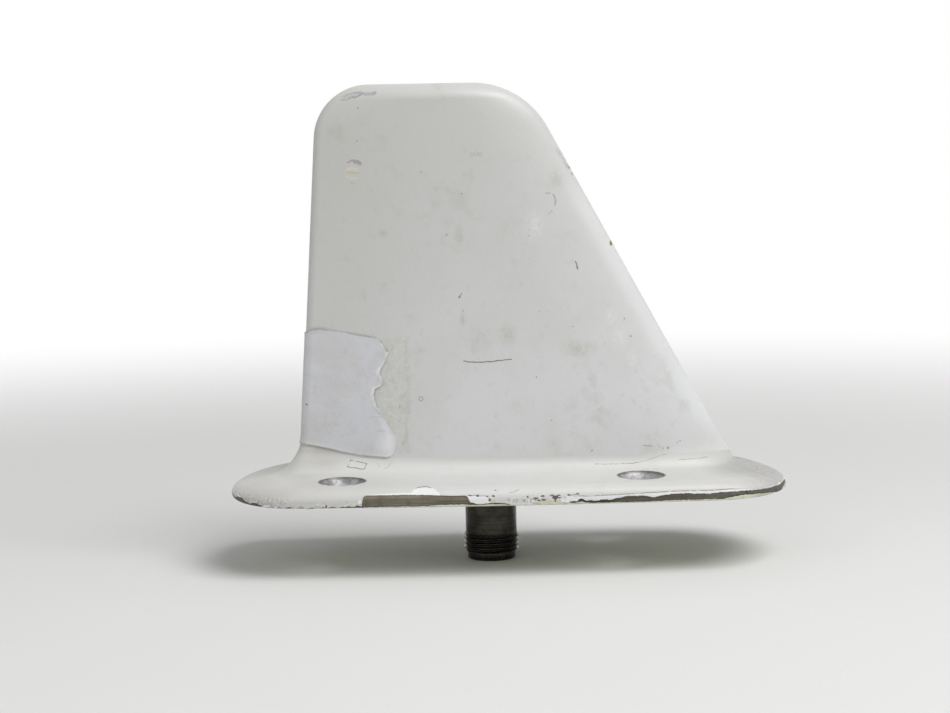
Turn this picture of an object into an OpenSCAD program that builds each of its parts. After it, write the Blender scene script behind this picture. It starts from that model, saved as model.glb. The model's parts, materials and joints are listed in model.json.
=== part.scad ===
// Aircraft blade antenna: a swept hollow blade bonded to a flanged base, with a coaxial jack below.
// Millimetres. X points forward and Z up, and the origin is the jack's axis on the mounting face.

/* [Blade] */
// Height of the blade's tip above the mounting face
blade_height = 81.4; // [74:0.1:90]
// Chord of the blade where it meets the base
root_chord = 86.2; // [80:0.1:90]
// Trailing edge behind the jack's axis, where the blade meets the base
root_setback = 38.1; // [36:0.1:42]
// Forward lean of the trailing edge, degrees
trailing_lean = 3.7; // [0:0.1:8]
// Aft sweep of the leading edge, degrees
leading_sweep = 28.5; // [22:0.1:31]
// Radius of the top corner on the trailing edge
trailing_corner = 11; // [7:0.1:14]
// Radius of the top corner on the leading edge
leading_corner = 17; // [11:0.1:22]
// Greatest thickness of the blade at its root
root_thickness = 12; // [11:0.1:15]
// Greatest thickness of the blade just under its tip
tip_thickness = 8.4; // [7.6:0.1:10]
// Thickness of the trailing edge before it rounds off, at the root
trailing_thickness = 2.6; // [2.2:0.1:3.6]
// Length of the rounding of the trailing edge
trailing_rounding = 1.6; // [1.2:0.1:2.2]
// Depth of the rounding over the tip
tip_rounding = 3.2; // [2.4:0.1:4.5]
// Share of the chord ahead of the thickest point
nose_share = 0.32; // [0.26:0.01:0.4]
// Wall of the blade's laminate
shell_wall = 1.5; // [1.1:0.1:1.8]

/* [Root fillet] */
// Run of the fillet along the blade's sides
side_run = 3.2; // [2.4:0.1:4.5]
// Run of the fillet at the trailing edge
trailing_run = 6.2; // [4:0.1:7.5]
// Rise of the fillet up the trailing edge, above the seat
trailing_rise = 5; // [1:0.1:6]
// Run of the fillet at the leading edge
leading_run = 2.4; // [1.5:0.1:4]
// Rise of the fillet up the leading edge, above the seat
leading_rise = 4; // [1:0.1:6]

/* [Base] */
// Length of the flange from tip to tip
flange_length = 111.7; // [107:0.1:118]
// Aft tip of the flange behind the jack's axis
flange_aft = 52.1; // [49:0.1:54]
// Greatest width of the flange, at the middle of its bowed sides
flange_width = 45.8; // [43:0.1:49]
// Bow of each side of the flange between its elliptic ends
side_bow = 1.3; // [0:0.1:2]
// Length of the elliptic end of the flange, forward
forward_end = 15.3; // [12:0.1:18]
// Length of the elliptic end of the flange, aft
aft_end = 13.1; // [10:0.1:16]
// Height of the flange's square edge
edge_height = 1.3; // [1:0.1:2.4]
// Height of the flange just inside its rounded edge
shoulder_height = 3.9; // [3.4:0.1:4.2]
// Height of the flange at the foot of the root fillet
crown_height = 4.2; // [4:0.1:4.8]
// Height of the seat that the blade stands on
seat_height = 7; // [6.4:0.1:8.5]
// Share of its height that the flange loses towards its forward tip
forward_feather = 0.5; // [0.2:0.01:0.6]
// Share of its height that the flange loses towards its aft tip
aft_feather = 0.42; // [0.2:0.01:0.6]
// Distance inside the blade's ends at which the feathering starts
feather_start = 8; // [4:0.1:10]
// Height of the tenon inside the blade
tenon_height = 5; // [3:0.1:8]
// Bond line between the tenon and the blade
tenon_bond = 0.15; // [0.1:0.05:0.3]

/* [Screw holes] */
// Spacing of the screw holes along the blade
hole_spacing_x = 58.7; // [54:0.1:62]
// Spacing of the screw holes across the blade
hole_spacing_y = 27; // [25.5:0.1:29]
// Diameter of the screw holes
hole_diameter = 5; // [4.6:0.1:5.4]
// Diameter of the countersinks at the flange's top
countersink_diameter = 9.4; // [8.6:0.1:10.4]
// Included angle of the countersinks, degrees
countersink_angle = 100; // [90:1:110]

/* [Jack] */
// Reach of the jack below the mounting face
jack_reach = 14.2; // [12.5:0.1:16]
// Major diameter of the coupling thread
thread_diameter = 11.1; // [10.8:0.1:12]
// Length of the coupling thread
thread_length = 4; // [3:0.1:5]
// Diameter of the plain nose
nose_diameter = 9.6; // [9.2:0.1:10]
// Length of the plain nose
nose_length = 1.5; // [1:0.1:2]
// Chamfer on the nose
nose_chamfer = 0.3; // [0.1:0.1:0.5]
// Diameter of the plain barrel
barrel_diameter = 10.3; // [9.9:0.1:10.7]
// Diameter of the shank inside the base
shank_diameter = 9; // [8.6:0.1:9.4]
// Depth of the barrel's seat in the base
barrel_seat = 1.6; // [1:0.1:2.2]
// Metal left between the shank and the blade's seat
shank_roof = 1.5; // [1.2:0.1:2]
// Bore of the shell at its mouth
mouth_bore = 8.1; // [7.7:0.1:8.4]
// Depth of the mouth
mouth_depth = 8.3; // [7:0.1:9]
// Diameter of the front insulator's nose
bead_diameter = 4.75; // [4.4:0.05:5.2]
// Part of the bead that stands out in the mouth
bead_stand = 5.2; // [4:0.1:6]
// Length of the shell's web that the bead passes through
web_length = 2.9; // [2.2:0.1:3.4]
// Bore of the shell behind the web
rear_bore = 6.6; // [6.2:0.1:7]
// Length of the front insulator's flange
bead_flange = 2; // [1.8:0.1:2.6]
// Length of the retaining ring
ring_length = 2; // [1.4:0.1:2.4]
// Depth of the ring below the shank's end
ring_recess = 0.2; // [0:0.05:0.4]
// Diameter of the sleeve through the base
sleeve_diameter = 4; // [3.6:0.1:4.4]
// Height of the sleeve above the tenon
sleeve_stand = 0.5; // [0.2:0.1:1]
// Diameter of the contact's socket end
socket_diameter = 2.2; // [2:0.05:2.4]
// Bore of the contact's socket end
socket_bore = 1.38; // [1.3:0.02:1.5]
// Depth of the socket's bore
socket_depth = 4.5; // [3.5:0.1:5.5]
// Width of the slots in the socket
socket_slot = 0.25; // [0.2:0.05:0.4]
// Depth of the socket's mouth inside the bead
socket_recess = 0.2; // [0.1:0.05:0.4]
// Diameter of the contact's collar
collar_diameter = 3.2; // [2.9:0.1:3.5]
// Length of the contact's collar
collar_length = 1.1; // [0.8:0.1:1.4]
// Diameter of the contact's tail
tail_diameter = 1.3; // [1:0.05:1.5]
// Clearance on each side of pieces that slide together
fit_gap = 0.05; // [0.03:0.01:0.08]

/* [Radiator] */
// Thickness of the radiator's sheet
sheet_thickness = 0.8; // [0.5:0.1:1]
// Distance of the radiator from the blade's edges and tip
radiator_margin = 8; // [7:0.1:10]
// Height of the radiator's foot above the tenon
foot_stand = 1.5; // [1:0.1:3]
// Width of the radiator's foot
foot_width = 6; // [4:0.1:8]
// Height of the radiator's foot
foot_height = 5.5; // [4.5:0.1:7]
// Rise of the radiator's lower edges from the foot to the sides
foot_flare = 5; // [3:0.1:8]
// Length of the contact's tail inside the foot
tail_joint = 4.5; // [3.5:0.1:5]
// Bond line round the foam
core_bond = 0.1; // [0.05:0.01:0.15]

/* [Label] */
// Height of the label's lowest corner above the blade's seat
label_clear = 0.35; // [0.2:0.05:4]
// Height of the label
label_height = 22.2; // [16:0.1:26]
// Mean reach of the label forward of the trailing edge, on the near side
label_reach = 16.2; // [12:0.1:20]
// Depth of the tear along the label's forward edge, each way
label_tear = 1.9; // [0.5:0.1:2.5]
// Reach of the label round the trailing edge, on the far side
label_wrap = 8; // [4:0.1:12]
// Tilt of the label, degrees
label_tilt = 10; // [6:0.1:12]
// Thickness of the paper
label_thickness = 0.15; // [0.1:0.01:0.25]
// Glue line under the paper
label_glue = 0.12; // [0.1:0.01:0.2]

/* [Hidden] */
$fn = 96;

// Points round a blade section, and round the foam, which needs fewer
ring_points = 72;
core_points = ring_points / 2;
// Cutting solids run past the faces they open by this much, and lap each other by the smaller one
overrun = 1;
lap = 0.02;

leading_root = root_chord - root_setback;
flange_forward = flange_length - flange_aft;
tenon_top = seat_height + tenon_height;
tenon_inset = shell_wall + tenon_bond;
core_inset = shell_wall + core_bond;
core_bottom = tenon_top + core_bond;

feather_from_forward = leading_root - feather_start;
feather_from_aft = feather_start - root_setback;
// Share of the flange's top, from its edge (0) to the blade (1), that is its rounded edge
shoulder_share = 0.2;

shank_top = seat_height - shank_roof;
nose_end = -jack_reach;
thread_end = nose_end + nose_length;
thread_start = thread_end + thread_length;
mouth_floor = nose_end + mouth_depth;
bead_end = mouth_floor - bead_stand;
web_top = mouth_floor + web_length;
flange_top = web_top + bead_flange;
ring_top = shank_top - ring_recess;
ring_bottom = ring_top - ring_length;
sleeve_top = tenon_top + sleeve_stand;
socket_end = bead_end + socket_recess;
collar_bottom = flange_top - collar_length;

foot_bottom = tenon_top + foot_stand;
foot_top = foot_bottom + foot_height;
flare_top = foot_top + foot_flare;
radiator_top = blade_height - radiator_margin;
tail_top = foot_bottom + tail_joint;

// Height of the label's lower edge at the trailing edge
label_low = seat_height + label_clear + (label_reach + label_tear) * tan(label_tilt);

function clamp01(t) = min(max(t, 0), 1);
function mix(a, b, t) = a + (b - a) * t;

// Edges of the blade seen from the side, set in by d.
// Each top corner is an arc tangent to its edge and to the top, never sharper than least_corner.
least_corner = 1;
function corner_run(lean, r) = r * tan((90 - lean) / 2);
function edge_shift(z, lean, r, d) =
    let (
        top = blade_height - d,
        arc = max(r - d, least_corner),
        run = corner_run(lean, arc),
        slant = (z - seat_height) * tan(lean) + d / cos(lean),
        slant_top = (top - seat_height) * tan(lean) + d / cos(lean),
        over = z - (top - arc)
    )
    z <= top - run * cos(lean) ? slant : slant_top + run - sqrt(max(arc * arc - over * over, 0));
function trailing_x(z, d = 0) = edge_shift(z, trailing_lean, trailing_corner, d) - root_setback;
function leading_x(z, d = 0) = leading_root - edge_shift(z, leading_sweep, leading_corner, d);

// Greatest half thickness at height z, set in by d.
// The tip rounds off to a narrow flat, tip_flat of its thickness.
tip_flat = 0.18;
function half_thickness(z, d = 0) =
    let (
        up = clamp01((z - seat_height) / (blade_height - seat_height)),
        straight = mix(root_thickness, tip_thickness, up) / 2,
        top = blade_height - d,
        rise = clamp01((z - top + tip_rounding) / tip_rounding) * sqrt(1 - tip_flat * tip_flat)
    )
    (straight - d) * sqrt(1 - rise * rise);

// Share of the half thickness at chord share s: an elliptic nose, then a curve down to the trailing edge.
// The hollow inside keeps at least thin_inside of half thickness there.
thin_inside = 0.35;
function section_share(s, d = 0) =
    let (
        tail = max(trailing_thickness / 2 - d, thin_inside) / (root_thickness / 2 - d),
        run = (s - nose_share) / (1 - nose_share),
        ahead = 1 - s / nose_share
    )
    s < nose_share ? sqrt(max(1 - ahead * ahead, 0)) : 1 - (1 - tail) * run * run;

// Plan of the blade at height z and angle a (0 leading edge, 180 trailing edge), set in by d.
function blade_point(z, a, d = 0) =
    let (
        fore = leading_x(z, d),
        chord = fore - trailing_x(z, d),
        s = (1 - cos(a)) / 2,
        back = 1 - clamp01((1 - s) * chord / trailing_rounding),
        half = half_thickness(z, d) * section_share(s, d) * sqrt(1 - back * back)
    )
    [fore - s * chord, sign(sin(a)) * half];

// Root fillet: a quarter ellipse from the blade out to the crown of the flange.
// Along the sides it starts at the seat, and towards the blade's ends it climbs above the seat.
// It takes at most fillet_limit of the way from the blade to the flange's edge.
end_fade = 8;
fillet_limit = 0.6;
function at_ends(a, side, trailing, leading) =
    let (s = (1 - cos(a)) / 2)
    side + (trailing - side) * pow(s, end_fade) + (leading - side) * pow(1 - s, end_fade);
function fillet_run(a) =
    min(at_ends(a, side_run, trailing_run, leading_run), fillet_limit * norm(root_way(a)));
function fillet_rise(a) = at_ends(a, 0, trailing_rise, leading_rise);
function fillet_height(a) = seat_height + fillet_rise(a) - crown_height;
function fillet_out(z, a) =
    let (t = clamp01((crown_height + fillet_height(a) - z) / fillet_height(a)))
    fillet_run(a) * (1 - sqrt(1 - t * t));
// Way from the blade out to the flange's edge
function root_way(a) = flange_point(a) - blade_point(seat_height, a);

// Point of the blade's skin; the outside, with no d, has the fillet on it.
function skin_point(z, a, d = 0) =
    let (
        plan = blade_point(z, a, d),
        way = root_way(a),
        out = d > 0 ? 0 : fillet_out(z, a)
    )
    concat(plan + way * out / norm(way), z);
function section(z, d = 0, n = ring_points) = [for (i = [0 : n - 1]) skin_point(z, 360 * i / n, d)];

// Heights of the sections from z0 up: the fillet, a straight stretch, then closer towards the rounded top.
// rows holds the number of steps in each, for the outside and for the inside, which has no fillet.
skin_rows = [5, 5, 18];
core_rows = [0, 3, 9];
fillet_top = seat_height + max(trailing_rise, leading_rise);
function levels(z0, d, rows) =
    let (
        top = blade_height - d,
        straight = rows[0] > 0 ? fillet_top : z0,
        aft_run = corner_run(trailing_lean, trailing_corner),
        forward_run = corner_run(leading_sweep, leading_corner),
        bend = top - max(aft_run, forward_run) - tip_rounding
    )
    concat(
        [for (i = [0 : 1 : rows[0] - 1]) mix(z0, straight, i / rows[0])],
        [for (i = [0 : rows[1] - 1]) mix(straight, bend, i / rows[1])],
        [for (i = [0 : rows[2]]) mix(bend, top, sin(90 * i / rows[2]))]
    );

// Faces of a skin through rows of n points, and a cap over one row.
function skin_faces(first, last, n) = [
    for (r = [first : last - 1], i = [0 : n - 1])
        let (j = (i + 1) % n)
        each [[r * n + i, (r + 1) * n + i, (r + 1) * n + j], [r * n + i, (r + 1) * n + j, r * n + j]]
];
function cap_down(row, n) = [for (i = [0 : n - 1]) row * n + i];
function cap_up(row, n) = [for (i = [n - 1 : -1 : 0]) row * n + i];
function flatten(rows) = [for (row = rows) each row];

// Outline of the flange at the same angles as the blade's section: bowed sides and elliptic ends.
side_front = flange_forward - forward_end;
side_back = aft_end - flange_aft;
side_middle = (side_front + side_back) / 2;
function half_width(x) =
    flange_width / 2 - side_bow * pow((x - side_middle) / (side_front - side_middle), 2);
function flange_point(a) =
    let (
        x = mix(flange_forward, -flange_aft, (1 - cos(a)) / 2),
        q = max((x - side_front) / forward_end, (side_back - x) / aft_end, 0)
    )
    [x, sign(sin(a)) * half_width(x) * sqrt(max(1 - q * q, 0))];

// Share of the flange's height lost at x, growing towards the tips and fading out towards the blade
feather_fade = 4;
function feather(x) =
    forward_feather * pow(clamp01((x - feather_from_forward) / (flange_forward - feather_from_forward)), 2)
    + aft_feather * pow(clamp01((feather_from_aft - x) / (feather_from_aft + flange_aft)), 2);

// Section of the base at angle a, from the flange's edge in to the blade: [share of the way in, height]
edge_steps = 6;
crown_steps = 3;
fillet_steps = 6;
function base_profile(a) =
    let (
        steep = asin(fillet_rise(a) / fillet_height(a)),
        start = fillet_out(seat_height, a),
        fillet = (fillet_run(a) - start) / (norm(root_way(a)) - start)
    )
    concat(
        [[0, 0]],
        [for (i = [0 : edge_steps])
            let (b = 90 * i / edge_steps)
            [shoulder_share * (1 - cos(b)), mix(edge_height, shoulder_height, sin(b))]],
        [for (i = [1 : crown_steps])
            let (t = i / crown_steps)
            [mix(shoulder_share, 1 - fillet, t), mix(shoulder_height, crown_height, t)]],
        [for (i = [1 : fillet_steps])
            let (b = mix(90, steep, i / fillet_steps))
            [1 - fillet * (1 - cos(b) / cos(steep)), crown_height + fillet_height(a) * (1 - sin(b))]]
    );
function base_point(p, a) =
    let (
        edge = flange_point(a),
        root = skin_point(seat_height, a),
        x = mix(edge.x, root.x, p[0])
    )
    [x, mix(edge.y, root.y, p[0]), p[1] * (1 - feather(x) * (1 - pow(p[0], feather_fade)))];

// Height of the flange's top at the screw holes
hole_x = hole_spacing_x / 2;
hole_half = half_thickness(seat_height) * section_share((leading_root - hole_x) / root_chord);
hole_way = half_width(hole_x) - hole_half;
hole_share = (half_width(hole_x) - hole_spacing_y / 2) / hole_way;
crown_share = 1 - side_run / hole_way;
hole_top = mix(
    shoulder_height, crown_height, clamp01((hole_share - shoulder_share) / (crown_share - shoulder_share))
);

module base_body() {
    n = ring_points;
    profiles = [for (i = [0 : n - 1]) base_profile(360 * i / n)];
    rows = concat(
        [for (r = [0 : len(profiles[0]) - 1])
            [for (i = [0 : n - 1]) base_point(profiles[i][r], 360 * i / n)]],
        [section(seat_height, tenon_inset), section(tenon_top, tenon_inset)]
    );
    last = len(rows) - 1;
    polyhedron(flatten(rows), concat([cap_down(0, n)], skin_faces(0, last, n), [cap_up(last, n)]));
}

module screw_hole() {
    cone = (countersink_diameter - hole_diameter) / 2 / tan(countersink_angle / 2);
    translate([0, 0, -overrun])
        cylinder(h = hole_top + overrun, d = hole_diameter);
    translate([0, 0, hole_top - cone])
        cylinder(h = cone, d1 = hole_diameter, d2 = countersink_diameter);
    translate([0, 0, hole_top - lap])
        cylinder(h = seat_height, d = countersink_diameter);
}

module jack_bore() {
    translate([0, 0, -overrun])
        cylinder(h = barrel_seat + overrun, d = barrel_diameter + 2 * fit_gap);
    cylinder(h = shank_top + fit_gap, d = shank_diameter + 2 * fit_gap);
    cylinder(h = tenon_top + overrun, d = sleeve_diameter + 2 * fit_gap);
}

module base_plate() {
    color([0.88, 0.87, 0.83])
        difference() {
            base_body();
            for (x = [-1, 1] * hole_x, y = [-1, 1] * hole_spacing_y / 2)
                translate([x, y, 0])
                    screw_hole();
            jack_bore();
        }
}

module radome() {
    outer = [for (z = levels(seat_height, 0, skin_rows)) section(z)];
    inner = [for (z = levels(seat_height, shell_wall, core_rows)) section(z, shell_wall)];
    inside = [for (i = [len(inner) - 1 : -1 : 0]) inner[i]];
    top = len(outer) - 1;
    last = len(outer) + len(inner) - 1;
    n = ring_points;
    rim = [
        for (i = [0 : n - 1])
            let (j = (i + 1) % n)
            each [[last * n + i, i, j], [last * n + i, j, last * n + j]]
    ];
    color([0.9, 0.89, 0.86])
        polyhedron(
            flatten(concat(outer, inside)),
            concat(
                skin_faces(0, top, n), [cap_up(top, n)],
                [cap_down(top + 1, n)], skin_faces(top + 1, last, n), rim
            )
        );
}

module foam_core() {
    rows = [for (z = levels(core_bottom, core_inset, core_rows)) section(z, core_inset, core_points)];
    last = len(rows) - 1;
    n = core_points;
    tail_pocket = tail_top + core_bond - core_bottom;
    sleeve_pocket = sleeve_top + core_bond - core_bottom;
    color([0.85, 0.72, 0.45])
        difference() {
            polyhedron(flatten(rows), concat([cap_down(0, n)], skin_faces(0, last, n), [cap_up(last, n)]));
            radiator_sheet(sheet_thickness + 2 * core_bond, core_bond);
            translate([0, 0, core_bottom - overrun]) {
                cylinder(h = tail_pocket + overrun, d = tail_diameter + 2 * core_bond);
                cylinder(h = sleeve_pocket + overrun, d = sleeve_diameter + 2 * core_bond);
            }
        }
}

// Outline of the radiator, grown by g: a foot, lower edges that flare out, and sides that follow the blade.
module radiator_sheet(thickness, g) {
    steps = 14;
    sides = [for (i = [0 : steps]) mix(flare_top - g, radiator_top + g, sin(90 * i / steps))];
    half_foot = foot_width / 2 + g;
    rotate([90, 0, 0])
        linear_extrude(thickness, center = true)
            polygon(concat(
                [[half_foot, foot_bottom - g], [half_foot, foot_top - 2 * g]],
                [for (z = sides) [leading_x(z, radiator_margin - g), z]],
                [for (i = [steps : -1 : 0]) [trailing_x(sides[i], radiator_margin - g), sides[i]]],
                [[-half_foot, foot_top - 2 * g], [-half_foot, foot_bottom - g]]
            ));
}

module radiator() {
    slot = tail_diameter + 2 * fit_gap;
    color([0.8, 0.62, 0.3])
        difference() {
            radiator_sheet(sheet_thickness, 0);
            translate([-slot / 2, -slot / 2, foot_bottom - overrun])
                cube([slot, slot, tail_joint + fit_gap + overrun]);
        }
}

module connector_shell() {
    color([0.45, 0.43, 0.4])
        rotate_extrude()
            polygon([
                [mouth_bore / 2, nose_end],
                [nose_diameter / 2 - nose_chamfer, nose_end],
                [nose_diameter / 2, nose_end + nose_chamfer],
                [nose_diameter / 2, thread_end],
                [thread_diameter / 2, thread_end],
                [thread_diameter / 2, thread_start],
                [barrel_diameter / 2, thread_start],
                [barrel_diameter / 2, barrel_seat],
                [shank_diameter / 2, barrel_seat],
                [shank_diameter / 2, shank_top],
                [rear_bore / 2, shank_top],
                [rear_bore / 2, web_top],
                [bead_diameter / 2 + fit_gap, web_top],
                [bead_diameter / 2 + fit_gap, mouth_floor],
                [mouth_bore / 2, mouth_floor]
            ]);
}

module front_insulator() {
    color([0.95, 0.94, 0.9])
        rotate_extrude()
            polygon([
                [socket_diameter / 2 + fit_gap, bead_end],
                [bead_diameter / 2, bead_end],
                [bead_diameter / 2, web_top],
                [rear_bore / 2 - fit_gap, web_top],
                [rear_bore / 2 - fit_gap, flange_top],
                [collar_diameter / 2 + fit_gap, flange_top],
                [collar_diameter / 2 + fit_gap, collar_bottom],
                [socket_diameter / 2 + fit_gap, collar_bottom]
            ]);
}

module rear_insulator() {
    color([0.92, 0.91, 0.87])
        rotate_extrude()
            polygon([
                [tail_diameter / 2 + fit_gap, flange_top],
                [rear_bore / 2 - fit_gap, flange_top],
                [rear_bore / 2 - fit_gap, ring_bottom],
                [sleeve_diameter / 2, ring_bottom],
                [sleeve_diameter / 2, sleeve_top],
                [tail_diameter / 2 + fit_gap, sleeve_top]
            ]);
}

module retaining_ring() {
    color([0.78, 0.66, 0.36])
        rotate_extrude()
            polygon([
                [sleeve_diameter / 2 + fit_gap, ring_bottom],
                [rear_bore / 2, ring_bottom],
                [rear_bore / 2, ring_top],
                [sleeve_diameter / 2 + fit_gap, ring_top]
            ]);
}

module center_contact() {
    color([0.9, 0.74, 0.35])
        difference() {
            rotate_extrude()
                polygon([
                    [0, socket_end + socket_depth],
                    [socket_bore / 2, socket_end + socket_depth],
                    [socket_bore / 2, socket_end],
                    [socket_diameter / 2, socket_end],
                    [socket_diameter / 2, collar_bottom],
                    [collar_diameter / 2, collar_bottom],
                    [collar_diameter / 2, flange_top],
                    [tail_diameter / 2, flange_top],
                    [tail_diameter / 2, tail_top],
                    [0, tail_top]
                ]);
            for (turn = [0, 90])
                rotate([0, 0, turn])
                    translate([-socket_diameter, -socket_slot / 2, socket_end - overrun])
                        cube([2 * socket_diameter, socket_slot, socket_depth + overrun]);
        }
}

// Point of the label's face, off the blade's skin by g. u runs round the trailing edge from the far side
// to the torn edge on the near side, v runs up. The tear is a wave with a crest near the label's foot.
tear_waves = 1.25;
tear_crest = 0.08;
function label_point(u, v, g) =
    let (
        low = label_low + v * label_height,
        chord = leading_x(low) - trailing_x(low),
        torn = label_reach + label_tear * cos(360 * tear_waves * (v - tear_crest)),
        from = acos(2 * label_wrap / chord - 1),
        to = 360 - acos(2 * torn / chord - 1),
        a = mix(from, to, u),
        ahead = sign(a - 180) * chord * (1 + cos(a)) / 2,
        z = low - ahead * tan(label_tilt),
        here = skin_point(z, a),
        along = skin_point(z, a + 1) - skin_point(z, a - 1),
        size = norm(along)
    )
    [here.x + g * along.y / size, here.y - g * along.x / size, z];

module paper_label() {
    columns = 22;
    rows = 11;
    // Each row of points runs along the outer face and back along the inner face
    loops = [
        for (r = [0 : rows])
            concat(
                [for (c = [0 : columns]) label_point(c / columns, r / rows, label_glue + label_thickness)],
                [for (c = [columns : -1 : 0]) label_point(c / columns, r / rows, label_glue)]
            )
    ];
    n = 2 * (columns + 1);
    // End strips join each point of the outer face to the one behind it
    strip = [for (c = [0 : columns - 1]) [c, c + 1, n - 2 - c, n - 1 - c]];
    low_end = [for (q = strip) each [[q[0], q[1], q[2]], [q[0], q[2], q[3]]]];
    high_end = [for (q = strip) each [[q[2], q[1], q[0]], [q[3], q[2], q[0]]]];
    to_top = [1, 1, 1] * rows * n;
    ends = concat(low_end, [for (f = high_end) f + to_top]);
    color([0.9, 0.89, 0.91])
        polyhedron(flatten(loops), concat(skin_faces(0, rows, n), ends));
}

base_plate();
radome();
foam_core();
radiator();
connector_shell();
front_insulator();
rear_insulator();
center_contact();
retaining_ring();
paper_label();
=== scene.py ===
# %% [markdown]
# # An aircraft blade antenna, worn and taken off its aircraft
# A hollow glass-fibre blade stands on an aluminium foot, with a threaded coaxial jack below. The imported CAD
# model is the frame here: it is in metres, and every new surface is worked out in its millimetres and laid
# over the solid that it stands for. Solids that already have the right shape only get a better finish.

# %% The frame and the CAD box
import json

import bpy
import numpy as np
from mathutils import Matrix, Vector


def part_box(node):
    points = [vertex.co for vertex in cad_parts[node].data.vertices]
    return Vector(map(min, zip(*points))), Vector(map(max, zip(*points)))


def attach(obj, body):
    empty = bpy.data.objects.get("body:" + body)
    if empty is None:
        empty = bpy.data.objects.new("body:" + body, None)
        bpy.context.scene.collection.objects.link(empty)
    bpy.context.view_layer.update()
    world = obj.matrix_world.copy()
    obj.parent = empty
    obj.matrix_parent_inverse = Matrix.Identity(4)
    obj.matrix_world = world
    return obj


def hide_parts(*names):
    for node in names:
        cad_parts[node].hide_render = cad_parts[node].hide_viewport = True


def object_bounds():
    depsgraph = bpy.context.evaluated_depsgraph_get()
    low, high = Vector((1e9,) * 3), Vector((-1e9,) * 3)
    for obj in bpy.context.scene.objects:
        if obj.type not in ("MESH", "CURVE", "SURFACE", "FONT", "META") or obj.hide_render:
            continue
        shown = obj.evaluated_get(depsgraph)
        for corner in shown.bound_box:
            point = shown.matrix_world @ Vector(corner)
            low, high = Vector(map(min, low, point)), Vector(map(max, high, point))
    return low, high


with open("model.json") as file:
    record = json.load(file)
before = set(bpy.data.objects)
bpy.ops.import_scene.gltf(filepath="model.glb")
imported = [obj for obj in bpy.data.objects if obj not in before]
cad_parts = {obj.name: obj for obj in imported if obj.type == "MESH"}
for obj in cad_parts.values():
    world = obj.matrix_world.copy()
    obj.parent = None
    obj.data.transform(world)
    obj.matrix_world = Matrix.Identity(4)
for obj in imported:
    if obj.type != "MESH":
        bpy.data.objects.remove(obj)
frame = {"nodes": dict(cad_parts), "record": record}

MM = 0.001
cad_box = [list(corner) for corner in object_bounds()]
print("CAD box, mm:", [[round(c / MM, 2) for c in corner] for corner in cad_box])

# %% [markdown]
# ## From a grid of points to a mesh
# Nearly every piece below is a surface with two parameters: rows up the piece, columns round it. One helper
# joins such a grid into quads, one closes a ring to a centre point, and one hands the whole to Blender.
# Edges that turn by more than a set angle stay crisp, and all others are shaded smooth.

# %% Grid helpers
def grid_quads(rows, cols, closed=True):
    """Quads of a grid whose points run row by row: each joins a point to the next in its row and to the two
    above them. Closed joins the last column to the first, so that a ring has no seam."""
    row, col = np.meshgrid(np.arange(rows - 1), np.arange(cols if closed else cols - 1), indexing="ij")
    here, right = row * cols + col, row * cols + (col + 1) % cols
    return np.stack([here, right, right + cols, here + cols], -1).reshape(-1, 4)


def fan(ring, centre):
    """Triangles from each edge of a closed ring of point numbers to one centre point."""
    return np.stack([ring, np.roll(ring, -1), np.full_like(ring, centre)], -1)


def make_piece(name, points, *faces, sharp=35):
    """A mesh object at the origin from points in millimetres and blocks of faces, crisp above an angle."""
    mesh = bpy.data.meshes.new(name)
    mesh.from_pydata((points * MM).tolist(), [], [face for block in faces for face in block.tolist()])
    mesh.shade_smooth()
    mesh.set_sharp_from_angle(angle=np.radians(sharp))
    piece = bpy.data.objects.new(name, mesh)
    bpy.context.scene.collection.objects.link(piece)
    return piece


def report(piece):
    """Prints how many points and faces a piece has."""
    print(f"{piece.name}: {len(piece.data.vertices)} points, {len(piece.data.polygons)} faces")

# %% [markdown]
# ## Ragged edges without chance
# Chipped paint and torn paper need an uneven line that comes out the same on each run. Value noise gives
# it: fixed heights on a square lattice, blended smoothly in between, in a few octaves. It is plain array
# maths, so the same function can move points of a mesh and fill an attribute that a material reads.

# %% Value noise
def lattice_height(i, j):
    """A fixed height from 0 to 1 for each lattice point: the fraction of a large sine."""
    return np.abs(np.sin(i * 12.9898 + j * 78.233) * 43758.5453) % 1


def mottle(u, v, octaves=4):
    """Noise from -1 to 1: lattice heights blended with 3t^2 - 2t^3, over octaves of half size and
    strength."""
    total, weight = 0, 0
    for k in range(octaves):
        a, b = u * 2**k + 17.3 * k, v * 2**k - 9.1 * k
        i, j = np.floor(a), np.floor(b)
        s, t = a - i, b - j
        s, t = s * s * (3 - 2 * s), t * t * (3 - 2 * t)
        low = lattice_height(i, j) * (1 - s) + lattice_height(i + 1, j) * s
        high = lattice_height(i, j + 1) * (1 - s) + lattice_height(i + 1, j + 1) * s
        total, weight = total + (low * (1 - t) + high * t) / 2**k, weight + 1 / 2**k
    return 2 * total / weight - 1


def ease(value, low, high):
    """0 below low, 1 above high, and 3t^2 - 2t^3 between them."""
    t = np.clip((value - low) / (high - low), 0, 1)
    return t * t * (3 - 2 * t)


def lerp(a, b, t):
    """The point a share t of the way from a to b."""
    return a + (b - a) * t

# %% [markdown]
# ## The blade's form
# The blade is a moulded shell. Its trailing edge leans a little, its leading edge is swept well back, and
# both run into the top through an arc. Across, it has a round nose, full sides and a thin tail. One
# function gives its plan from a height and an angle round the section, for the outside and for the inside
# wall alike.

# %% The blade's plan
seat, blade_top = (corner[2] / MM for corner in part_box("radome"))
leading_root, trailing_root = 48.1, -38.1
trailing_lean, leading_sweep = 3.7, 28.5
trailing_corner, leading_corner = 11.0, 17.0
root_half, tip_half, tail_half = 6.0, 4.2, 1.3
trailing_rounding, tip_rounding, nose_share, tip_flat = 1.6, 3.2, 0.32, 0.18
shell_wall = 1.5


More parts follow.
